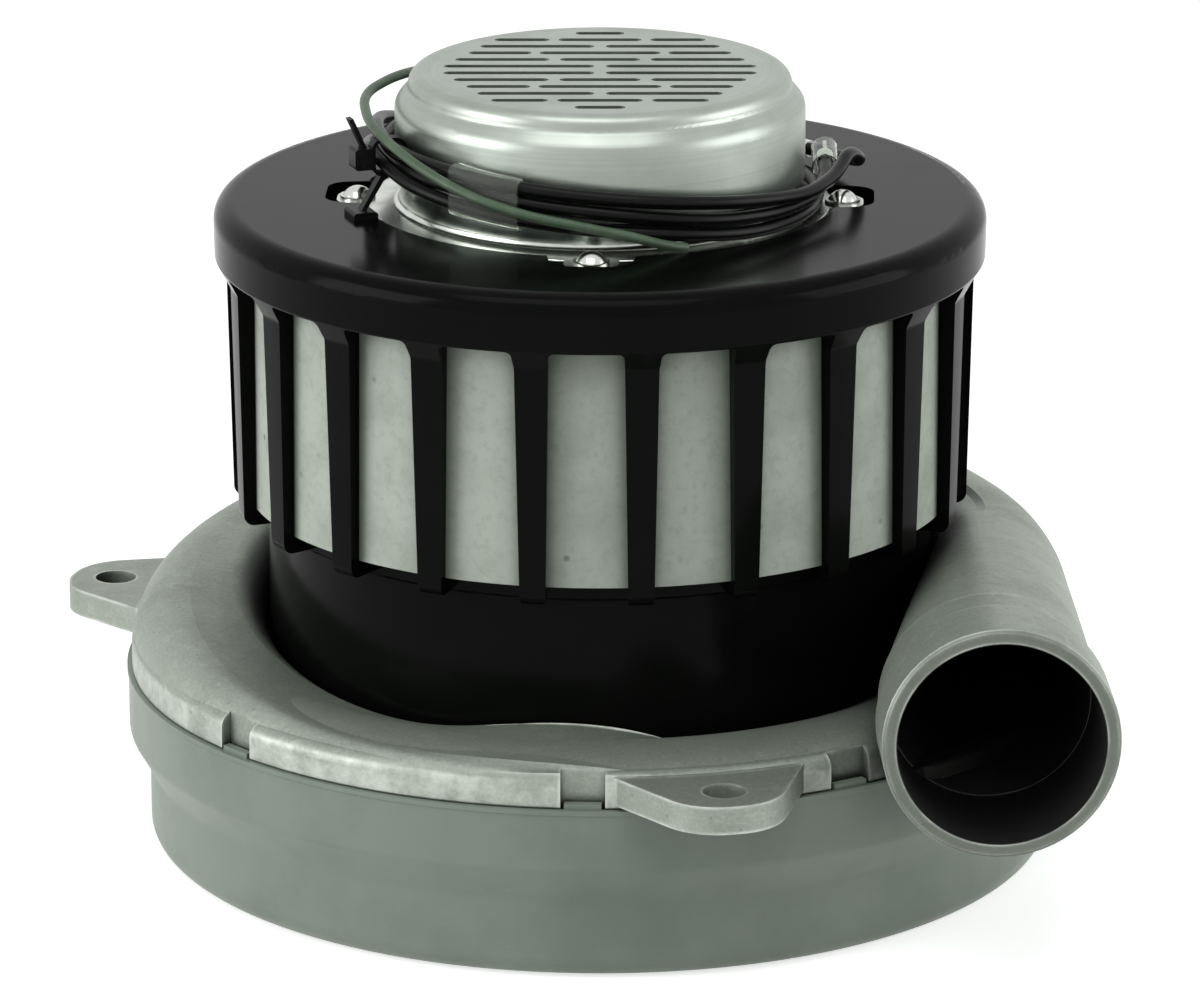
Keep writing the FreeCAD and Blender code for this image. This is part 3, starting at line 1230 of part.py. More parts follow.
def make_cable_tie():
    """Tie round the wires: loop, head, tail and a foot on the shroud."""
    body = new_body("cable_tie")
    turn = of.tie_azimuth - 90
    half = of.tie_width / 2
    near, far = of.cap_r + 0.2, of.cap_r + 8.1
    low, high = sized(156.7), sized(165.2)
    strap = of.tie_strap
    loop = Drawing(body, "loop_shape", turn=turn)
    loop.outline([(near, low, 2.4), (far, low, 2.4), (far, high, 2.4), (near, high, 2.4)])
    loop.outline([(near + strap, low + strap, 1.6), (far - strap, low + strap, 1.6),
                  (far - strap, high - strap, 1.6), (near + strap, high - strap, 1.6)])
    pad(body, "loop", loop, of.tie_width, Midplane=True)
    head = Drawing(body, "head_shape", turn=turn).outline([
        (far - 0.2, 158.6, 0.6), (far + 4.2, 158.6, 0.8), (far + 4.2, 163.4, 0.8),
        (far - 0.2, 163.4, 0.6)])
    pad(body, "head", head, of.tie_width + 1.8, Midplane=True)
    tail = Drawing(body, "tail_shape", turn=turn).outline([
        (far + 1.0, 163.0), (far + 2.0, 163.0), (far + 5.2, 170.0), (far + 4.2, 170.2)])
    pad(body, "tail", tail, of.tie_width - 0.4, Midplane=True)
    stem = Drawing(body, "stem_shape", turn=turn).outline([
        (far - 3.6, low + 0.3), (far + 1.7, of.shroud_top + 1.0), (far + 2.9, of.shroud_top + 1.0),
        (far - 2.2, low + 0.3)])
    pad(body, "stem", stem, of.tie_width - 0.6, Midplane=True)
    foot = Drawing(body, "foot_shape", turn=turn).outline([
        (far - 0.6, of.shroud_top), (far + 5.0, of.shroud_top), (far + 5.0, of.shroud_top + 1.6, 0.8),
        (far - 0.6, of.shroud_top + 1.6, 0.8)])
    pad(body, "foot", foot, 2 * half + 4, Midplane=True)
    return body


def make_wiring():
    lead = of.lead_diameter.number
    start_r = of.neck_r.number - 2.9
    bend_r = of.neck_r.number + 5.0
    first = [wire_start(0, start_r), wire_start(0, bend_r)] + [spot(*at) for at in FIRST_LEAD]
    second = [wire_start(1, start_r), wire_start(1, bend_r)] + [spot(*at) for at in SECOND_LEAD]
    earth = [wire_start(-1, start_r), wire_start(-1, bend_r)] + [spot(*at) for at in EARTH_WIRE]
    first_end = cord("black_lead_1", first, lead)
    second_end = cord("black_lead_2", second, lead)
    cord("earth_wire", earth, of.earth_diameter.number)
    group = doc.addObject("Part::Compound", "lead_terminals")
    group.Links = [make_terminal("first_terminal", *first_end),
                   make_terminal("second_terminal", *second_end)]
    make_end_sleeve(*second_end)
    make_lead_sleeve()
    make_cable_tie()
    make_grommet()


def make_vent_cap():
    """Drawn cap with a stepped shoulder and rows of slots across its top."""
    body = new_body("vent_cap")
    wall = of.cap_wall
    spun(body, "drawn_cap", Drawing(body, "cap_section").outline([
        (of.cap_r - wall, of.cap_skirt),
        (of.cap_r, of.cap_skirt),
        (of.cap_r, of.cap_shoulder, 4.0),
        (of.cap_step_r, of.cap_step, 1.4),
        (of.cap_step_r, of.cap_top, of.cap_edge),
        (0, of.cap_top),
        (0, of.cap_top - wall),
        (of.cap_step_r - wall, of.cap_top - wall, of.cap_edge - wall),
        (of.cap_step_r - wall, of.cap_step - wall / 3, 1.4),
        (of.cap_r - wall, of.cap_shoulder - wall / 3, 3.1)]))
    rows = [
        [(-34.6, -1.3), (1.3, 34.6)],
        [(-32.2, -11.3), (-8.9, 8.9), (11.3, 32.2)],
        [(-29.3, -15.3), (-13.5, 13.5), (15.3, 29.3)],
        [(-26.8, -1.3), (1.3, 26.8)],
        [(-23.7, -11.4), (-9.3, 9.3), (11.4, 23.7)],
        [(-5.5, 5.5)],
    ]
    cuts = []
    for k, row in enumerate(rows):
        drawing = Drawing(body, f"slot_row_{k}", "XY_Plane", lift=of.cap_top + 1)
        for left, right in row:
            drawing.slot(left + of.slot_half, right - of.slot_half, -of.slot_pitch * (k + 0.5),
                         of.slot_half)
        cuts.append(pocket(body, f"slots_{k}", drawing, wall + 2))
    mirrored(body, "back_slots", cuts, "XZ_Plane")
    return body


def make_shroud():
    """Moulded black cage: top with screw pockets, skirt, ribs with feet, and lower cylinder."""
    body = new_body("filter_shroud")
    wall, top = of.skirt_wall, of.shroud_top
    under = top - of.shroud_plate
    cage_in = of.filter_r + of.soft_gap
    foot_top = of.foot_bottom + of.foot_thick
    sleeve_in = of.sleeve_r - of.sleeve_wall
    flare_low = of.skirt_bottom - of.flare_height
    spun(body, "moulding", Drawing(body, "moulding_section").outline([
        (sleeve_in, plate_top), (of.sleeve_r, plate_top, 0.5), (of.sleeve_r, of.foot_bottom, 0.8),
        (of.rib_foot_r, of.foot_bottom, 2.6), (of.rib_top_r, flare_low, 2.0),
        (of.shroud_r - 0.2, of.skirt_bottom, 0.6), (of.shroud_r, top, of.shroud_edge),
        (of.shroud_hole_r, top, 0.8), (of.shroud_hole_r, under),
        (of.shroud_r - wall, under, 2.0), (of.shroud_r - wall, of.skirt_bottom + 1.0),
        (cage_in, of.skirt_bottom - 1.5), (cage_in, foot_top), (sleeve_in, foot_top)]))
    pitch = 360 / of.rib_count
    reach = of.sleeve_r + 0.4
    half_top = of.rib_top_r * tangent(pitch / 2) - of.rib_top_width / 2
    half_foot = of.rib_foot_r * tangent(pitch / 2) - of.rib_foot_width / 2
    window = Drawing(body, "window_shape", lift=reach, turn=of.rib_azimuth + pitch / 2)
    window.outline([
        (-half_foot, of.foot_bottom - 1), (half_foot, of.foot_bottom - 1),
        (half_top, of.skirt_bottom - 0.4, of.window_round),
        (-half_top, of.skirt_bottom - 0.4, of.window_round)])
    around(body, "windows", [pocket(body, "window", window, 14, Reversed=True)], of.rib_count)
    turn = of.screw_azimuth + 180
    half = of.pocket_half + 2
    tab = Drawing(body, "tab_shape", "XY_Plane", lift=of.pocket_floor - of.tab_thick, spin=turn)
    tab.outline([(-half, of.shroud_hole_r - 0.8), (half, of.shroud_hole_r - 0.8),
                 (half, of.pocket_r + 2, 3.0), (-half, of.pocket_r + 2, 3.0)])
    tabs = [pad(body, "tab", tab, under + 0.3 - of.pocket_floor + of.tab_thick)]
    around(body, "tabs", tabs, of.screw_count)
    half = of.pocket_half
    nest = Drawing(body, "pocket_shape", "XY_Plane", lift=top + 1, spin=turn).outline([
        (-half - 1.5, of.shroud_hole_r - 3), (half + 1.5, of.shroud_hole_r - 3),
        (half, of.pocket_r, 5.0), (-half, of.pocket_r, 5.0)])
    hole = Drawing(body, "screw_hole_shape", "XY_Plane", lift=top + 1, spin=turn).circle(
        0, of.screw_circle_r, clear_r)
    cuts = [pocket(body, "screw_pocket", nest, top + 1 - of.pocket_floor),
            pocket(body, "screw_hole", hole, 8)]
    around(body, "screw_pockets", cuts, of.screw_count)
    return body


def make_filter():
    foot_top = of.foot_bottom + of.foot_thick
    ring("filter_ring", of.filter_r - of.filter_wall, of.filter_r, foot_top + of.soft_gap,
         of.shroud_top - of.shroud_plate - of.soft_gap)


def tube_box(body, name, start, half_width, half_height, length, hollow=None):
    """A box along X round the brushes' line. hollow gives the half sizes of a hole through it."""
    middle = of.brush_middle
    drawing = Drawing(body, f"{name}_shape", "YZ_Plane", lift=start)
    for wide, tall in [(half_width, half_height)] + ([hollow] if hollow else []):
        drawing.outline([(-wide, middle - tall), (wide, middle - tall),
                         (wide, middle + tall), (-wide, middle + tall)])
    return pad(body, name, drawing, length)


def side_start(side, near, far):
    """Where a piece between two distances from the axis starts along X on a side."""
    return near if side == "right" else -far


def make_brush_gear(side):
    """Brush, tube, spring, clip and holder on one side of the commutator."""
    sign = 1 if side == "right" else -1
    half_width, half_height = of.brush_width / 2, of.brush_height / 2
    face = of.copper_r + of.brush_gap
    tail = face + of.brush_length

    brush = new_body(f"brush_{side}")
    tube_box(brush, "carbon", side_start(side, of.copper_r - 1.5, tail), half_width, half_height,
             tail - of.copper_r + 1.5)
    low, high = of.brush_middle - half_height - 1, of.brush_middle + half_height + 1
    spun(brush, "worn_face", Drawing(brush, "face_section").outline(
        [(0, low), (face, low), (face, high), (0, high)]), "Groove")

    tube = new_body(f"brush_tube_{side}")
    hollow = (half_width + of.brush_play, half_height + of.brush_play)
    tube_box(tube, "tube", side_start(side, of.tube_start, of.tube_end), tube_half_width,
             tube_half_height, of.tube_end - of.tube_start, hollow)

    clip = new_body(f"brush_clip_{side}")
    clip_end = of.tube_end + of.clip_thick
    tube_box(clip, "plate", side_start(side, of.tube_end, clip_end), tube_half_width,
             tube_half_height + 0.6, of.clip_thick)
    stud = Drawing(clip, "stud_shape", "YZ_Plane", lift=sign * of.tube_end).circle(
        0, of.brush_middle, of.spring_r - 2 * of.spring_wire_r)
    pad(clip, "stud", stud, 1.5, Reversed=side == "right")

    holder = new_body(f"brush_holder_{side}")
    near, far = of.tube_start + 4, of.tube_end - 3
    wide, tall = tube_half_width + of.holder_wall, tube_half_height + of.holder_wall
    block = Drawing(holder, "block_shape", "YZ_Plane", lift=side_start(side, near, far))
    block.outline([(-wide, of.brush_middle - tall, 1.5), (wide, of.brush_middle - tall, 1.5),
                   (wide, frame_top), (-wide, frame_top)])
    room_wide, room_tall = tube_half_width + 0.05, tube_half_height + 0.05
    block.outline([(-room_wide, of.brush_middle - room_tall),
                   (room_wide, of.brush_middle - room_tall),
                   (room_wide, of.brush_middle + room_tall),
                   (-room_wide, of.brush_middle + room_tall)])
    pad(holder, "block", block, far - near)
    taps = Drawing(holder, "tapped_shape", "XY_Plane", lift=frame_top + 1)
    for x, y in holder_screw_spots:
        if x.number * sign > 0:
            taps.circle(x, y, of.holder_screw_r + of.fit_gap)
    pocket(holder, "tapped_holes", taps, 6)

    spring = doc.addObject("Part::Feature", f"brush_spring_{side}")
    gap = 0.15
    start, end = tail.number + gap, of.tube_end.number - gap
    wire = of.spring_wire_r.number
    turns, radius = of.spring_turns.number, of.spring_r.number
    length = end - start - 2 * wire
    helix = Part.makeHelix(length / turns, length, radius)
    path = Part.Wire(helix.Edges)
    profile = Part.Wire([Part.Circle(Vector(radius, 0, 0), Vector(0, 1, 0), wire).toShape()])
    spring.Shape = path.makePipeShell([profile], True, True)
    spring.Placement = Placement(
        Vector(sign * (start + wire), 0, of.brush_middle.number), Rotation(Vector(0, 1, 0), sign * 90))


def make_all():
    make_fan_shell()
    make_horn_casting()
    make_shaft_stack()
    make_stationary_fan()
    make_bearing("lower", of.bearing_low)
    make_bearing("upper", of.bearing_high)
    make_seal_and_retainer()
    make_motor_frame()
    make_field()
    make_armature()
    make_cooling_fan()
    make_commutator_bracket()
    for side in ("right", "left"):
        make_brush_gear(side)
    make_vent_cap()
    make_shroud()
    make_filter()
    make_screws("flange_screws", of.screw_circle_r, of.screw_azimuth, of.screw_count, of.flange_top,
                of.flange_top - of.pocket_floor + of.tab_thick + 3.0, of.screw_shank_r,
                of.screw_head_r, of.screw_head)
    make_holder_screws()
    make_wiring()


def sub_parts():
    """Every finished piece: the bodies, and the other solids that nothing else uses."""
    found = []
    for thing in doc.Objects:
        if thing.TypeId == "PartDesign::Body":
            found.append(thing)
        elif thing.TypeId.startswith("Part::") and not thing.InList:
            found.append(thing)
    return found


def check_document():
    for thing in doc.Objects:
        if "Invalid" in thing.State or "Error" in thing.State:
            raise RuntimeError(f"{thing.Label} failed: {thing.State}")
    for piece in sub_parts():
        if piece.Shape.isNull() or not piece.Shape.isValid() or not piece.Shape.Solids:
            raise RuntimeError(f"{piece.Label} has no valid solid")


def export_parts():
    os.makedirs("parts", exist_ok=True)
    for piece in sub_parts():
        piece.Shape.exportStep(f"parts/{piece.Label}.step")


make_all()
doc.recompute()
check_document()
export_parts()
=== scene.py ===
import json
import math

import bmesh
import bpy
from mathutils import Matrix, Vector


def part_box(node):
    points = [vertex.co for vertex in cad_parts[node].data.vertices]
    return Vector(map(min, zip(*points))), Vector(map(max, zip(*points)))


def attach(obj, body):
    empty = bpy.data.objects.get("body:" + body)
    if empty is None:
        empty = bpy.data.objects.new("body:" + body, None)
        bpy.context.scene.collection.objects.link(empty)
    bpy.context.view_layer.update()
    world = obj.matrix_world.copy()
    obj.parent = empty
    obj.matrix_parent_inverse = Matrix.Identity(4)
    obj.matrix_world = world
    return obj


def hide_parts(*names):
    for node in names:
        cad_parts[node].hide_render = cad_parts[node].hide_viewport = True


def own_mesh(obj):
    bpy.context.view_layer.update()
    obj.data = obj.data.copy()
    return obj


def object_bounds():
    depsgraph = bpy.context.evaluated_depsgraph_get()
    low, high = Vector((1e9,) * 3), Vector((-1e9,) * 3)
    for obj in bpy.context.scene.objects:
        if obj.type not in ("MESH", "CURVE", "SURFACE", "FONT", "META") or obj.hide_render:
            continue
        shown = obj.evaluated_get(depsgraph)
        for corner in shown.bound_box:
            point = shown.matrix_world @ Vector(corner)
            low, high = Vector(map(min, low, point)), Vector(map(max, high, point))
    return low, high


# Frame: metres, +Z up along the motor axis, the front faces -Y.
MM = 0.001

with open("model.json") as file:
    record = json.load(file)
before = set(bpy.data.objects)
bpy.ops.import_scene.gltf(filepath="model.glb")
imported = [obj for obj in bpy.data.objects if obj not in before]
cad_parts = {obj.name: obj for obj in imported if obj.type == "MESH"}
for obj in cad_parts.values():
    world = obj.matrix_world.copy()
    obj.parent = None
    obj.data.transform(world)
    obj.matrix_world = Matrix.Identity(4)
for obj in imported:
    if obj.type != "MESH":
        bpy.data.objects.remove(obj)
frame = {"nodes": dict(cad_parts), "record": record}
nodes = frame["nodes"]
cad_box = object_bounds()


def srgb(red, green, blue):
    """A colour given by display values from 0 to 255, in the linear values that shaders use."""
    def linear(value):
        value /= 255
        return value / 12.92 if value <= 0.04045 else ((value + 0.055) / 1.055) ** 2.4
    return (linear(red), linear(green), linear(blue), 1.0)


def picked(sockets, name, kind):
    """The socket of a name and a type, on a node that has several of the same name."""
    return next(one for one in sockets if one.name == name and one.type == kind)


# How many rays each point sends out to find how open it lies.
OPENNESS_RAYS = 6


class Finish:
    """A material made of nodes: one shader, and the textures that vary it."""

    def __init__(self, name, colour, rough, metal=0.0, **sockets):
        self.material = bpy.data.materials.new(name)
        self.material.use_nodes = True
        self.tree = self.material.node_tree
        self.shader = self.tree.nodes["Principled BSDF"]
        self.place = self.tree.nodes.new("ShaderNodeTexCoord").outputs["Object"]
        self.put("Base Color", colour)
        self.put("Roughness", rough)
        self.put("Metallic", metal)
        for key, value in sockets.items():
            self.put(key.replace("_", " "), value)
        self.colour = colour
        self.relief = None

    def put(self, socket, value):
        """Sets a socket of the shader to a value, or joins an output to it."""
        target = self.shader.inputs[socket]
        if isinstance(value, bpy.types.NodeSocket):
            self.tree.links.new(value, target)
        else:
            target.default_value = value

    def stretched(self, scale):
        """The object's coordinates, scaled apart along each axis."""
        mapping = self.tree.nodes.new("ShaderNodeMapping")
        mapping.inputs["Scale"].default_value = scale
        self.tree.links.new(self.place, mapping.inputs["Vector"])
        return mapping.outputs["Vector"]

    def noise(self, size, detail=4.0, rough=0.55, along=(1, 1, 1)):
        """Noise whose lumps are about the given size in metres."""
        texture = self.tree.nodes.new("ShaderNodeTexNoise")
        texture.inputs["Scale"].default_value = 1 / size
        texture.inputs["Detail"].default_value = detail
        texture.inputs["Roughness"].default_value = rough
        self.tree.links.new(self.stretched(along), texture.inputs["Vector"])
        return texture.outputs["Fac"]

    def specks(self, size):
        """Cells of the given size: their distance from the middle of each."""
        texture = self.tree.nodes.new("ShaderNodeTexVoronoi")
        texture.inputs["Scale"].default_value = 1 / size
        self.tree.links.new(self.place, texture.inputs["Vector"])
        return texture.outputs["Distance"]

    def axial(self):
        """How far the surface lies from the motor axis, and how high."""
        split = self.tree.nodes.new("ShaderNodeSeparateXYZ")
        self.tree.links.new(self.place, split.inputs[0])
        flat = self.vector_math("MULTIPLY", self.place, (1, 1, 0))
        return self.vector_math("LENGTH", flat, None), split.outputs["Z"]

    def turned_grooves(self, pitch, detail=3.0):
        """Fine rings round the motor axis, as turning and spinning leave them."""
        radius, height = self.axial()
        spot = self.tree.nodes.new("ShaderNodeCombineXYZ")
        self.tree.links.new(radius, spot.inputs["X"])
        self.tree.links.new(height, spot.inputs["Y"])
        texture = self.tree.nodes.new("ShaderNodeTexNoise")
        texture.inputs["Scale"].default_value = 1 / pitch
        texture.inputs["Detail"].default_value = detail
        self.tree.links.new(spot.outputs[0], texture.inputs["Vector"])
        return texture.outputs["Fac"]

    def spread(self, source, low, high, to_low=0.0, to_high=1.0):
        """Maps a range of a texture's values to another range, and holds it there."""
        node = self.tree.nodes.new("ShaderNodeMapRange")
        node.inputs["From Min"].default_value = low
        node.inputs["From Max"].default_value = high
        node.inputs["To Min"].default_value = to_low
        node.inputs["To Max"].default_value = to_high
        self.tree.links.new(source, node.inputs["Value"])
        return node.outputs["Result"]

    def openness(self, radius, inside=False):
        """1 in the open and less in a corner. From inside: less at a sharp edge or a thin wall."""
        node = self.tree.nodes.new("ShaderNodeAmbientOcclusion")
        node.inputs["Distance"].default_value = radius
        node.samples = OPENNESS_RAYS
        node.inside = inside
        node.only_local = inside
        return node.outputs["AO"]

    def vector_math(self, operation, first, second):
        """A vector operation on an output and, where it takes two, an output or a constant."""
        node = self.tree.nodes.new("ShaderNodeVectorMath")
        node.operation = operation
        self.tree.links.new(first, node.inputs[0])
        if isinstance(second, bpy.types.NodeSocket):
            target = node.inputs["Scale"] if operation == "SCALE" else node.inputs[1]
            self.tree.links.new(second, target)
        elif second is not None:
            node.inputs[1].default_value = second
        return node.outputs["Value" if operation in ("LENGTH", "DOT_PRODUCT") else "Vector"]

    def along_and_off(self, point, direction):
        """How far the surface lies along a line through a point, and how far off it."""
        offset = self.vector_math("SUBTRACT", self.place, point)
        along = self.vector_math("DOT_PRODUCT", offset, direction)
        steady = self.tree.nodes.new("ShaderNodeCombineXYZ")
        for axis, value in zip("XYZ", direction):
            steady.inputs[axis].default_value = value
        foot = self.vector_math("SCALE", steady.outputs[0], along)
        off = self.vector_math("LENGTH", self.vector_math("SUBTRACT", offset, foot), None)
        return along, off

    def math(self, operation, first, second):
        """A calculation with two outputs."""
        node = self.tree.nodes.new("ShaderNodeMath")
        node.operation = operation
        self.tree.links.new(first, node.inputs[0])
        self.tree.links.new(second, node.inputs[1])
        return node.outputs[0]

    def tinted(self, mask, colour):
        """Mixes another colour in where the mask is 1."""
        node = self.tree.nodes.new("ShaderNodeMix")
        node.data_type = "RGBA"
        before = picked(node.inputs, "A", "RGBA")
        if isinstance(self.colour, bpy.types.NodeSocket):
            self.tree.links.new(self.colour, before)
        else:
            before.default_value = self.colour
        picked(node.inputs, "B", "RGBA").default_value = colour
        self.tree.links.new(mask, picked(node.inputs, "Factor", "VALUE"))
        self.colour = picked(node.outputs, "Result", "RGBA")
        self.put("Base Color", self.colour)
        return self

    def worn(self, mask, low, high):
        """Lets the roughness follow a mask between two values."""
        self.put("Roughness", self.spread(mask, 0, 1, low, high))
        return self

    def raised(self, texture, depth, strength=1.0):
        """Adds a relief of the given depth in metres to the surface."""
        node = self.tree.nodes.new("ShaderNodeBump")
        node.inputs["Strength"].default_value = strength
        node.inputs["Distance"].default_value = depth
        self.tree.links.new(texture, node.inputs["Height"])
        if self.relief is not None:
            self.tree.links.new(self.relief, node.inputs["Normal"])
        self.relief = node.outputs["Normal"]
        self.put("Normal", self.relief)
        return self


def shell_paint():
    """Satin grey-green enamel on drawn steel: faint orange peel and handling marks."""
    finish = Finish("shell_paint", srgb(128, 139, 128), 0.4, Specular_IOR_Level=0.45)
    cloud = finish.noise(30 * MM, 5)
    finish.tinted(finish.spread(cloud, 0.42, 0.68), srgb(114, 126, 115))
    scuffs = finish.noise(6 * MM, 6, 0.7, (1, 1, 2.6))
    finish.tinted(finish.spread(scuffs, 0.66, 0.74, 0, 0.35), srgb(168, 175, 165))
    finish.worn(finish.noise(9 * MM, 4), 0.34, 0.5)
    return finish.raised(finish.noise(1.1 * MM, 2), 0.02 * MM, 0.5).material


# The horn's bore: its axis runs back from the middle of the outlet's face, and it is straight and
# round for the length of the pipe.
OUTLET = (85.0 * MM, -114.0 * MM, 57.5 * MM)
HORN_TOE = math.radians(2.6)
HORN_BACK = (-math.sin(HORN_TOE), math.cos(HORN_TOE), 0.0)
HORN_BORE_RADIUS = 22.3 * MM
COLLAR_RADIUS = 25.5 * MM
PIPE_LENGTH = 30.0 * MM
# The casting's rim, whose machined side carries a painted highlight.
RIM_RADIUS = 106.0 * MM
RIM_TOP = 48.0 * MM


def cast_aluminium():
    """Sand-cast aluminium, tumbled: matte, grainy and stained, bright at edges, with painted shade
    in corners and inside the horn, and painted highlights on the rim's side.
    """
    metal = 0.6
    finish = Finish("cast_aluminium", srgb(150, 157, 147), 0.5, metal, Specular_IOR_Level=0.35)
    # Stains, pale streaks, grain and dark pits lie all over it.
    stain = finish.noise(26 * MM, 6, 0.62)
    finish.tinted(finish.spread(stain, 0.45, 0.7, 0, 0.75), srgb(126, 133, 123))
    streaks = finish.noise(5 * MM, 5, 0.7, (1, 1, 2.2))
    finish.tinted(finish.spread(streaks, 0.56, 0.72, 0, 0.5), srgb(178, 184, 175))
    grain = finish.noise(0.9 * MM, 5, 0.7)
    finish.tinted(finish.spread(grain, 0.45, 0.7, 0, 0.4), srgb(178, 184, 175))
    pits = finish.specks(3.4 * MM)
    finish.tinted(finish.spread(pits, 0.12, 0.05, 0, 0.45), srgb(80, 86, 79))
    # The collar's front face is coloured darker.
    back, off = finish.along_and_off(OUTLET, HORN_BACK)
    in_front = finish.spread(back, 0.7 * MM, 0.4 * MM, 0, 0.75)
    on_collar = finish.spread(off, COLLAR_RADIUS + 1 * MM, COLLAR_RADIUS + 0.5 * MM)
    finish.tinted(finish.math("MULTIPLY", in_front, on_collar), srgb(92, 97, 90))
    # Sharp edges are rubbed bright in places.
    edge = finish.spread(finish.openness(0.9 * MM, inside=True), 0.9, 0.6)
    in_places = finish.spread(finish.noise(8 * MM, 4), 0.35, 0.6, 0.15, 0.9)
    finish.tinted(finish.math("MULTIPLY", edge, in_places), srgb(216, 220, 212))
    # The rim's side is machined, and painted bright in patches as highlights.
    radius, height = finish.axial()
    side = finish.math(
        "MULTIPLY", finish.spread(radius, RIM_RADIUS - 0.6 * MM, RIM_RADIUS - 0.2 * MM),
        finish.spread(radius, RIM_RADIUS + 0.8 * MM, RIM_RADIUS + 0.4 * MM))
    machined_highlight = finish.math("MULTIPLY", side, finish.spread(height, RIM_TOP, RIM_TOP - 1 * MM))
    highlight_patches = finish.spread(finish.noise(11 * MM, 6, 0.72), 0.42, 0.62, 0.1, 0.85)
    finish.tinted(finish.math("MULTIPLY", machined_highlight, highlight_patches), srgb(198, 204, 195))
    # Painted shade darkens the corners.
    corner = finish.spread(finish.openness(9 * MM), 0.62, 0.25, 0, 0.6)
    finish.tinted(corner, srgb(70, 75, 69))
    # The bore and the channel behind it are painted black, as the shade inside them, and lose
    # their metal there.
    bore = finish.math(
        "MULTIPLY", finish.spread(off, HORN_BORE_RADIUS + 0.25 * MM, HORN_BORE_RADIUS + 0.1 * MM),
        finish.spread(back, PIPE_LENGTH + 1 * MM, PIPE_LENGTH))
    channel_shade = finish.math("MAXIMUM", bore, finish.spread(finish.openness(90 * MM), 0.38, 0.26))
    finish.tinted(channel_shade, srgb(16, 17, 16))
    finish.put("Metallic", finish.spread(channel_shade, 0, 1, metal, 0))
    finish.worn(finish.math("MAXIMUM", stain, channel_shade), 0.36, 0.62)
    finish.raised(finish.noise(0.55 * MM, 3), 0.06 * MM, 0.5)
    return finish.raised(finish.noise(6 * MM, 4), 0.3 * MM, 0.6).material


def black_plastic():
    """Glossy black moulding with a faint grey haze, an uneven gloss and slight waves."""
    finish = Finish("black_plastic", srgb(8, 10, 8), 0.14, Specular_IOR_Level=0.04)
    haze = finish.noise(14 * MM, 5)
    finish.tinted(finish.spread(haze, 0.45, 0.75, 0, 0.5), srgb(14, 15, 14))
    finish.worn(finish.noise(22 * MM, 6, 0.65), 0.09, 0.24)
    return finish.raised(finish.noise(18 * MM, 2), 0.05 * MM, 0.25).material


def filter_foam():
    """Pale grey filter medium: soft and mottled, with scattered dark specks and painted shade at
    its edges and beside the ribs.
    """
    finish = Finish("filter_foam", srgb(186, 193, 183), 0.9, Specular_IOR_Level=0.15)
    cloud = finish.noise(12 * MM, 4)
    finish.tinted(finish.spread(cloud, 0.45, 0.65, 0, 0.7), srgb(168, 175, 165))
    fibres = finish.noise(2.2 * MM, 5, 0.7)
    finish.tinted(finish.spread(fibres, 0.5, 0.68, 0, 0.4), srgb(150, 157, 148))
    flecks = finish.math("MULTIPLY", finish.spread(finish.specks(7.5 * MM), 0.13, 0.05),
                         finish.spread(finish.noise(16 * MM, 1), 0.5, 0.6, 0, 0.6))
    finish.tinted(flecks, srgb(92, 97, 90))
    # Painted shade: darker where the ribs and edges close in round the medium.
    finish.tinted(finish.spread(finish.openness(7 * MM), 0.85, 0.45, 0, 0.75), srgb(88, 94, 86))
    finish.raised(finish.noise(0.7 * MM, 4, 0.7), 0.08 * MM, 0.6)
    return finish.raised(finish.noise(9 * MM, 2), 0.4 * MM, 0.35).material


def cap_steel():
    """Nickel-grey spun steel with a soft brushed sheen round the axis."""
    finish = Finish("cap_steel", srgb(166, 173, 165), 0.34, 1.0)
    rings = finish.turned_grooves(0.5 * MM)
    finish.tinted(finish.spread(rings, 0.4, 0.7, 0, 0.35), srgb(142, 150, 142))
    finish.tinted(finish.spread(finish.noise(20 * MM, 5), 0.45, 0.7, 0, 0.6), srgb(138, 146, 137))
    finish.worn(finish.noise(8 * MM, 5, 0.6), 0.3, 0.44)
    return finish.raised(rings, 0.01 * MM, 0.35).material


# The bracket's neck stands above its bright flange, and is duller.
NECK_LOW = 148.0 * MM


def bright_steel():
    """Bright drawn steel with light handling marks, and a duller neck above the flange."""
    finish = Finish("bright_steel", srgb(208, 212, 205), 0.22, 1.0)
    finish.tinted(finish.spread(finish.noise(10 * MM, 6), 0.5, 0.75, 0, 0.5), srgb(166, 173, 164))
    _, height = finish.axial()
    finish.tinted(finish.spread(height, NECK_LOW, NECK_LOW + 1 * MM, 0, 0.9), srgb(98, 109, 100))
    return finish.worn(finish.noise(5 * MM, 5), 0.14, 0.3).material


def screw_steel():
    """Bright plated steel of screws, nuts and springs, slightly clouded."""
    finish = Finish("screw_steel", srgb(205, 208, 203), 0.16, 1.0)
    finish.tinted(finish.spread(finish.noise(2 * MM, 4), 0.5, 0.8, 0, 0.5), srgb(168, 172, 166))
    return finish.worn(finish.noise(1.5 * MM, 3), 0.12, 0.26).material


def spun_aluminium():
    """Pale aluminium sheet with rings round the axis."""
    finish = Finish("spun_aluminium", srgb(196, 199, 196), 0.3, 1.0)
    rings = finish.turned_grooves(0.8 * MM)
    finish.tinted(finish.spread(rings, 0.4, 0.7, 0, 0.3), srgb(176, 180, 176))
    return finish.raised(rings, 0.015 * MM, 0.4).material


def bearing_steel():
    """Ground and polished steel."""
    finish = Finish("bearing_steel", srgb(188, 190, 192), 0.18, 1.0)
    return finish.worn(finish.noise(3 * MM, 3), 0.14, 0.26).material


def laminations():
    """Stacked sheets: fine level lines, lightly oiled."""
    finish = Finish("laminations", srgb(92, 94, 97), 0.4, 0.9)
    sheets = finish.noise(0.5 * MM, 1, 0.5, (0.01, 0.01, 1))
    finish.tinted(finish.spread(sheets, 0.35, 0.65), srgb(66, 68, 71))
    return finish.raised(sheets, 0.06 * MM, 0.7).material


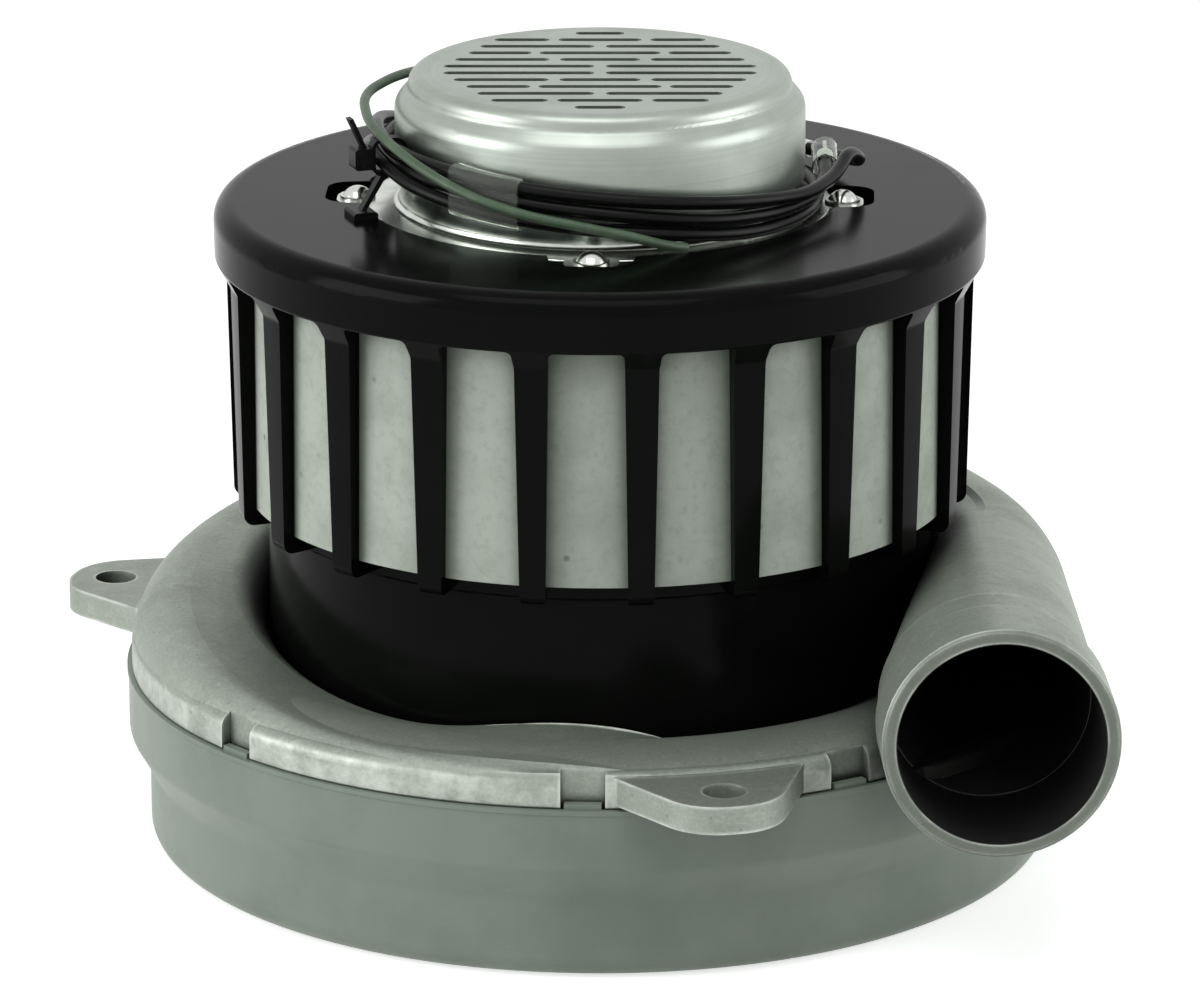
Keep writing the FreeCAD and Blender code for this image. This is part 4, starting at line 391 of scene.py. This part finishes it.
def copper():
    """Enamelled copper wire, laid round the axis."""
    finish = Finish("copper", srgb(168, 92, 48), 0.3, 0.85)
    strands = finish.noise(0.8 * MM, 2, 0.5, (0.25, 0.25, 1))
    finish.tinted(finish.spread(strands, 0.4, 0.65), srgb(120, 58, 28))
    return finish.raised(strands, 0.12 * MM, 0.8).material


def carbon():
    """Dull grey-black carbon with a fine grain."""
    finish = Finish("carbon", srgb(38, 38, 40), 0.6, 0.1)
    finish.tinted(finish.spread(finish.noise(1 * MM, 4), 0.5, 0.7), srgb(58, 58, 60))
    return finish.raised(finish.noise(0.3 * MM, 2), 0.02 * MM, 0.5).material


def brass():
    """Brass with a light brown tarnish."""
    finish = Finish("brass", srgb(190, 158, 92), 0.3, 1.0)
    finish.tinted(finish.spread(finish.noise(6 * MM, 4), 0.5, 0.75), srgb(150, 120, 66))
    return finish.worn(finish.noise(3 * MM, 3), 0.24, 0.42).material


def fan_plastic():
    """Satin black moulding, slightly dusty."""
    finish = Finish("fan_plastic", srgb(34, 35, 35), 0.48, Specular_IOR_Level=0.4)
    finish.tinted(finish.spread(finish.noise(4 * MM, 4), 0.5, 0.8), srgb(48, 49, 48))
    return finish.raised(finish.noise(0.4 * MM, 2), 0.03 * MM, 0.4).material


def wire_skin(name, colour, worn_colour, rough, specular):
    """Soft wire insulation, slightly uneven."""
    finish = Finish(name, colour, rough, Specular_IOR_Level=specular)
    finish.tinted(finish.spread(finish.noise(5 * MM, 4), 0.5, 0.75, 0, 0.7), worn_colour)
    finish.worn(finish.noise(4 * MM, 3), rough - 0.07, rough + 0.1)
    return finish.raised(finish.noise(3 * MM, 2), 0.06 * MM, 0.3).material


def clear_sleeve():
    """Clear soft tubing that shows the wires through it, slightly wavy."""
    finish = Finish("clear_sleeve", srgb(240, 244, 238), 0.03,
                    Specular_IOR_Level=1.0, Transmission_Weight=0.96, IOR=1.1)
    finish.tinted(finish.spread(finish.noise(6 * MM, 3), 0.5, 0.7, 0, 0.4), srgb(222, 228, 219))
    return finish.raised(finish.noise(8 * MM, 1), 0.5 * MM, 0.3).material


def tie_nylon():
    """Black nylon strap with teeth across it."""
    finish = Finish("tie_nylon", srgb(10, 11, 10), 0.36, Specular_IOR_Level=0.12)
    finish.tinted(finish.spread(finish.noise(3 * MM, 3), 0.5, 0.8), srgb(32, 33, 32))
    teeth = finish.noise(0.7 * MM, 0, 0.5, (0.1, 0.1, 1))
    return finish.raised(teeth, 0.06 * MM, 0.4).material


def rubber():
    """Dull black rubber, greyer in patches."""
    finish = Finish("rubber", srgb(24, 24, 24), 0.62, Specular_IOR_Level=0.3)
    finish.tinted(finish.spread(finish.noise(3 * MM, 3), 0.5, 0.75), srgb(38, 38, 37))
    return finish.raised(finish.noise(0.6 * MM, 3), 0.03 * MM, 0.5).material


FINISHES = {
    "shell_paint": shell_paint(),
    "cast_aluminium": cast_aluminium(),
    "black_plastic": black_plastic(),
    "filter_foam": filter_foam(),
    "cap_steel": cap_steel(),
    "bright_steel": bright_steel(),
    "screw_steel": screw_steel(),
    "spun_aluminium": spun_aluminium(),
    "bearing_steel": bearing_steel(),
    "laminations": laminations(),
    "copper": copper(),
    "carbon": carbon(),
    "brass": brass(),
    "fan_plastic": fan_plastic(),
    "black_lead": wire_skin("black_lead", srgb(11, 13, 11), srgb(20, 23, 20), 0.28, 0.12),
    "green_lead": wire_skin("green_lead", srgb(74, 94, 73), srgb(98, 116, 94), 0.36, 0.3),
    "clear_sleeve": clear_sleeve(),
    "tie_nylon": tie_nylon(),
    "rubber": rubber(),
}


def dress_nodes():
    """Gives each CAD node the finish of its slot in the record."""
    slots = {part["node"]: part["material_slot"] for part in frame["record"]["subparts"]}
    for name, thing in nodes.items():
        finish = FINISHES[slots[name]]
        if not thing.data.materials:
            thing.data.materials.append(finish)
        for slot in thing.material_slots:
            slot.material = finish


SPRING_WIRE_RADIUS = 0.3 * MM
SPRING_TURNS = 6
STEPS_A_TURN = 36
SIDES_OF_WIRE = 10


def make_brush_spring(side):
    """A coil spring in its CAD solid's place, on the motor body."""
    node = f"brush_spring_{side}"
    low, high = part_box(node)
    middle = (low + high) / 2
    radius = (high.y - low.y) / 2 - SPRING_WIRE_RADIUS
    length = high.x - low.x
    form = bmesh.new()
    rings = []
    count = SPRING_TURNS * STEPS_A_TURN
    for k in range(count + 1):
        turn = 2 * math.pi * k / STEPS_A_TURN
        outward = Vector((0, math.cos(turn), math.sin(turn)))
        centre = Vector((low.x + SPRING_WIRE_RADIUS, middle.y, middle.z)) + outward * radius
        centre.x += (length - 2 * SPRING_WIRE_RADIUS) * k / count
        ring = []
        for j in range(SIDES_OF_WIRE):
            part = 2 * math.pi * j / SIDES_OF_WIRE
            across = outward * math.cos(part) + Vector((1, 0, 0)) * math.sin(part)
            ring.append(form.verts.new(centre + across * SPRING_WIRE_RADIUS))
        rings.append(ring)
    for first, second in zip(rings, rings[1:]):
        for j in range(SIDES_OF_WIRE):
            after = (j + 1) % SIDES_OF_WIRE
            form.faces.new((first[j], first[after], second[after], second[j]))
    form.faces.new(rings[0])
    form.faces.new(reversed(rings[-1]))
    bmesh.ops.recalc_face_normals(form, faces=form.faces)
    for face in form.faces:
        face.smooth = True
    mesh = bpy.data.meshes.new(f"coil_{side}")
    form.to_mesh(mesh)
    form.free()
    mesh.materials.append(FINISHES["screw_steel"])
    spring = bpy.data.objects.new(f"coil_{side}", mesh)
    bpy.context.collection.objects.link(spring)
    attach(spring, "motor_body")
    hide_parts(node)
    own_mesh(spring)


def pale_rays(tree):
    """1 for the rays on which the background shows as white: camera, glossy and transmission."""
    path = tree.nodes.new("ShaderNodeLightPath")
    total = path.outputs["Is Camera Ray"]
    for name in ("Is Glossy Ray", "Is Transmission Ray"):
        add = tree.nodes.new("ShaderNodeMath")
        add.operation = "ADD"
        add.use_clamp = True
        tree.links.new(total, add.inputs[0])
        tree.links.new(path.outputs[name], add.inputs[1])
        total = add.outputs[0]
    return total


FLOOR_HALF_WIDTH = 4.0
FLOOR_GAP = 0.2 * MM
FLOOR_COLOUR = (0.84, 0.84, 0.84, 1)
# The floor's own glow, for the rays of pale_rays. It makes the floor white beside the shadow.
FLOOR_GLOW = 0.66


def make_floor():
    """A white studio floor that keeps the object's soft shadow."""
    mesh = bpy.data.meshes.new("floor")
    form = bmesh.new()
    bmesh.ops.create_grid(form, x_segments=2, y_segments=2, size=FLOOR_HALF_WIDTH)
    form.to_mesh(mesh)
    form.free()
    floor = bpy.data.objects.new("floor", mesh)
    floor.location.z = cad_box[0].z - FLOOR_GAP
    bpy.context.collection.objects.link(floor)
    material = bpy.data.materials.new("floor_white")
    material.use_nodes = True
    tree = material.node_tree
    tree.nodes.clear()
    plain = tree.nodes.new("ShaderNodeBsdfDiffuse")
    plain.inputs["Color"].default_value = FLOOR_COLOUR
    glow = tree.nodes.new("ShaderNodeEmission")
    seen = tree.nodes.new("ShaderNodeMath")
    seen.operation = "MULTIPLY"
    seen.inputs[1].default_value = FLOOR_GLOW
    tree.links.new(pale_rays(tree), seen.inputs[0])
    tree.links.new(seen.outputs[0], glow.inputs["Strength"])
    both = tree.nodes.new("ShaderNodeAddShader")
    tree.links.new(plain.outputs[0], both.inputs[0])
    tree.links.new(glow.outputs[0], both.inputs[1])
    output = tree.nodes.new("ShaderNodeOutputMaterial")
    tree.links.new(both.outputs[0], output.inputs["Surface"])
    mesh.materials.append(material)


# The light that the room gives.
ROOM_COLOUR = (0.96, 1.0, 0.97, 1)
ROOM_STRENGTH = 0.3
# What the rays of pale_rays see instead.
WHITE = (1, 1, 1, 1)
WHITE_STRENGTH = 1.0


def make_world():
    """A pale studio all round: pure white to the camera, and softer as a light."""
    world = bpy.data.worlds.new("studio")
    bpy.context.scene.world = world
    world.use_nodes = True
    tree = world.node_tree
    tree.nodes.clear()
    room = tree.nodes.new("ShaderNodeBackground")
    room.inputs["Color"].default_value = ROOM_COLOUR
    room.inputs["Strength"].default_value = ROOM_STRENGTH
    white = tree.nodes.new("ShaderNodeBackground")
    white.inputs["Color"].default_value = WHITE
    white.inputs["Strength"].default_value = WHITE_STRENGTH
    mixed = tree.nodes.new("ShaderNodeMixShader")
    tree.links.new(pale_rays(tree), mixed.inputs["Fac"])
    tree.links.new(room.outputs[0], mixed.inputs[1])
    tree.links.new(white.outputs[0], mixed.inputs[2])
    output = tree.nodes.new("ShaderNodeOutputWorld")
    tree.links.new(mixed.outputs[0], output.inputs["Surface"])


def soft_box(name, place, aim, width, height, watts):
    """A rectangular soft box at a place, turned to its aim."""
    data = bpy.data.lights.new(name, "AREA")
    data.shape = "RECTANGLE"
    data.size, data.size_y = width, height
    data.energy = watts
    lamp = bpy.data.objects.new(name, data)
    lamp.location = place
    lamp.rotation_euler = (Vector(aim) - Vector(place)).to_track_quat("-Z", "Y").to_euler()
    bpy.context.collection.objects.link(lamp)


# The soft boxes: name, place, width, height and watts. All are turned to the motor's middle.
MOTOR_MIDDLE = (0, 0, 0.09)
SOFT_BOXES = (
    ("left", (-1.25, -0.45, 0.5), 0.9, 0.9, 10),
    ("right", (1.3, -0.2, 0.5), 0.9, 0.9, 7),
    ("overhead", (-0.1, -0.5, 1.25), 1.1, 0.6, 4.5),
)


def make_lights():
    """A soft box on each side, and a weak one above the front."""
    for name, place, width, height, watts in SOFT_BOXES:
        soft_box(name, place, MOTOR_MIDDLE, width, height, watts)


# The camera stands this far from a point on the motor's axis, and looks down by this angle.
CAMERA_TARGET = Vector((0, 0, 76.4 * MM))
CAMERA_DISTANCE = 1646 * MM
CAMERA_PITCH = math.radians(17.2)
CAMERA_CLIP = (0.1, 20.0)
# The lens and the sensor are in millimetres, as cameras state them.
CAMERA_LENS = 219.0
CAMERA_SENSOR = 36.0


def make_camera():
    """The camera of the photo, from the front and a little above."""
    data = bpy.data.cameras.new("camera")
    data.sensor_width = CAMERA_SENSOR
    data.lens = CAMERA_LENS
    data.clip_start, data.clip_end = CAMERA_CLIP
    camera = bpy.data.objects.new("camera", data)
    back = Vector((0, -math.cos(CAMERA_PITCH), math.sin(CAMERA_PITCH)))
    camera.location = CAMERA_TARGET + back * CAMERA_DISTANCE
    camera.rotation_euler = (math.pi / 2 - CAMERA_PITCH, 0, 0)
    bpy.context.collection.objects.link(camera)
    bpy.context.scene.camera = camera


bpy.context.scene.view_settings.view_transform = "Standard"
dress_nodes()
for side in ("right", "left"):
    make_brush_spring(side)
make_floor()
make_world()
make_lights()
make_camera()
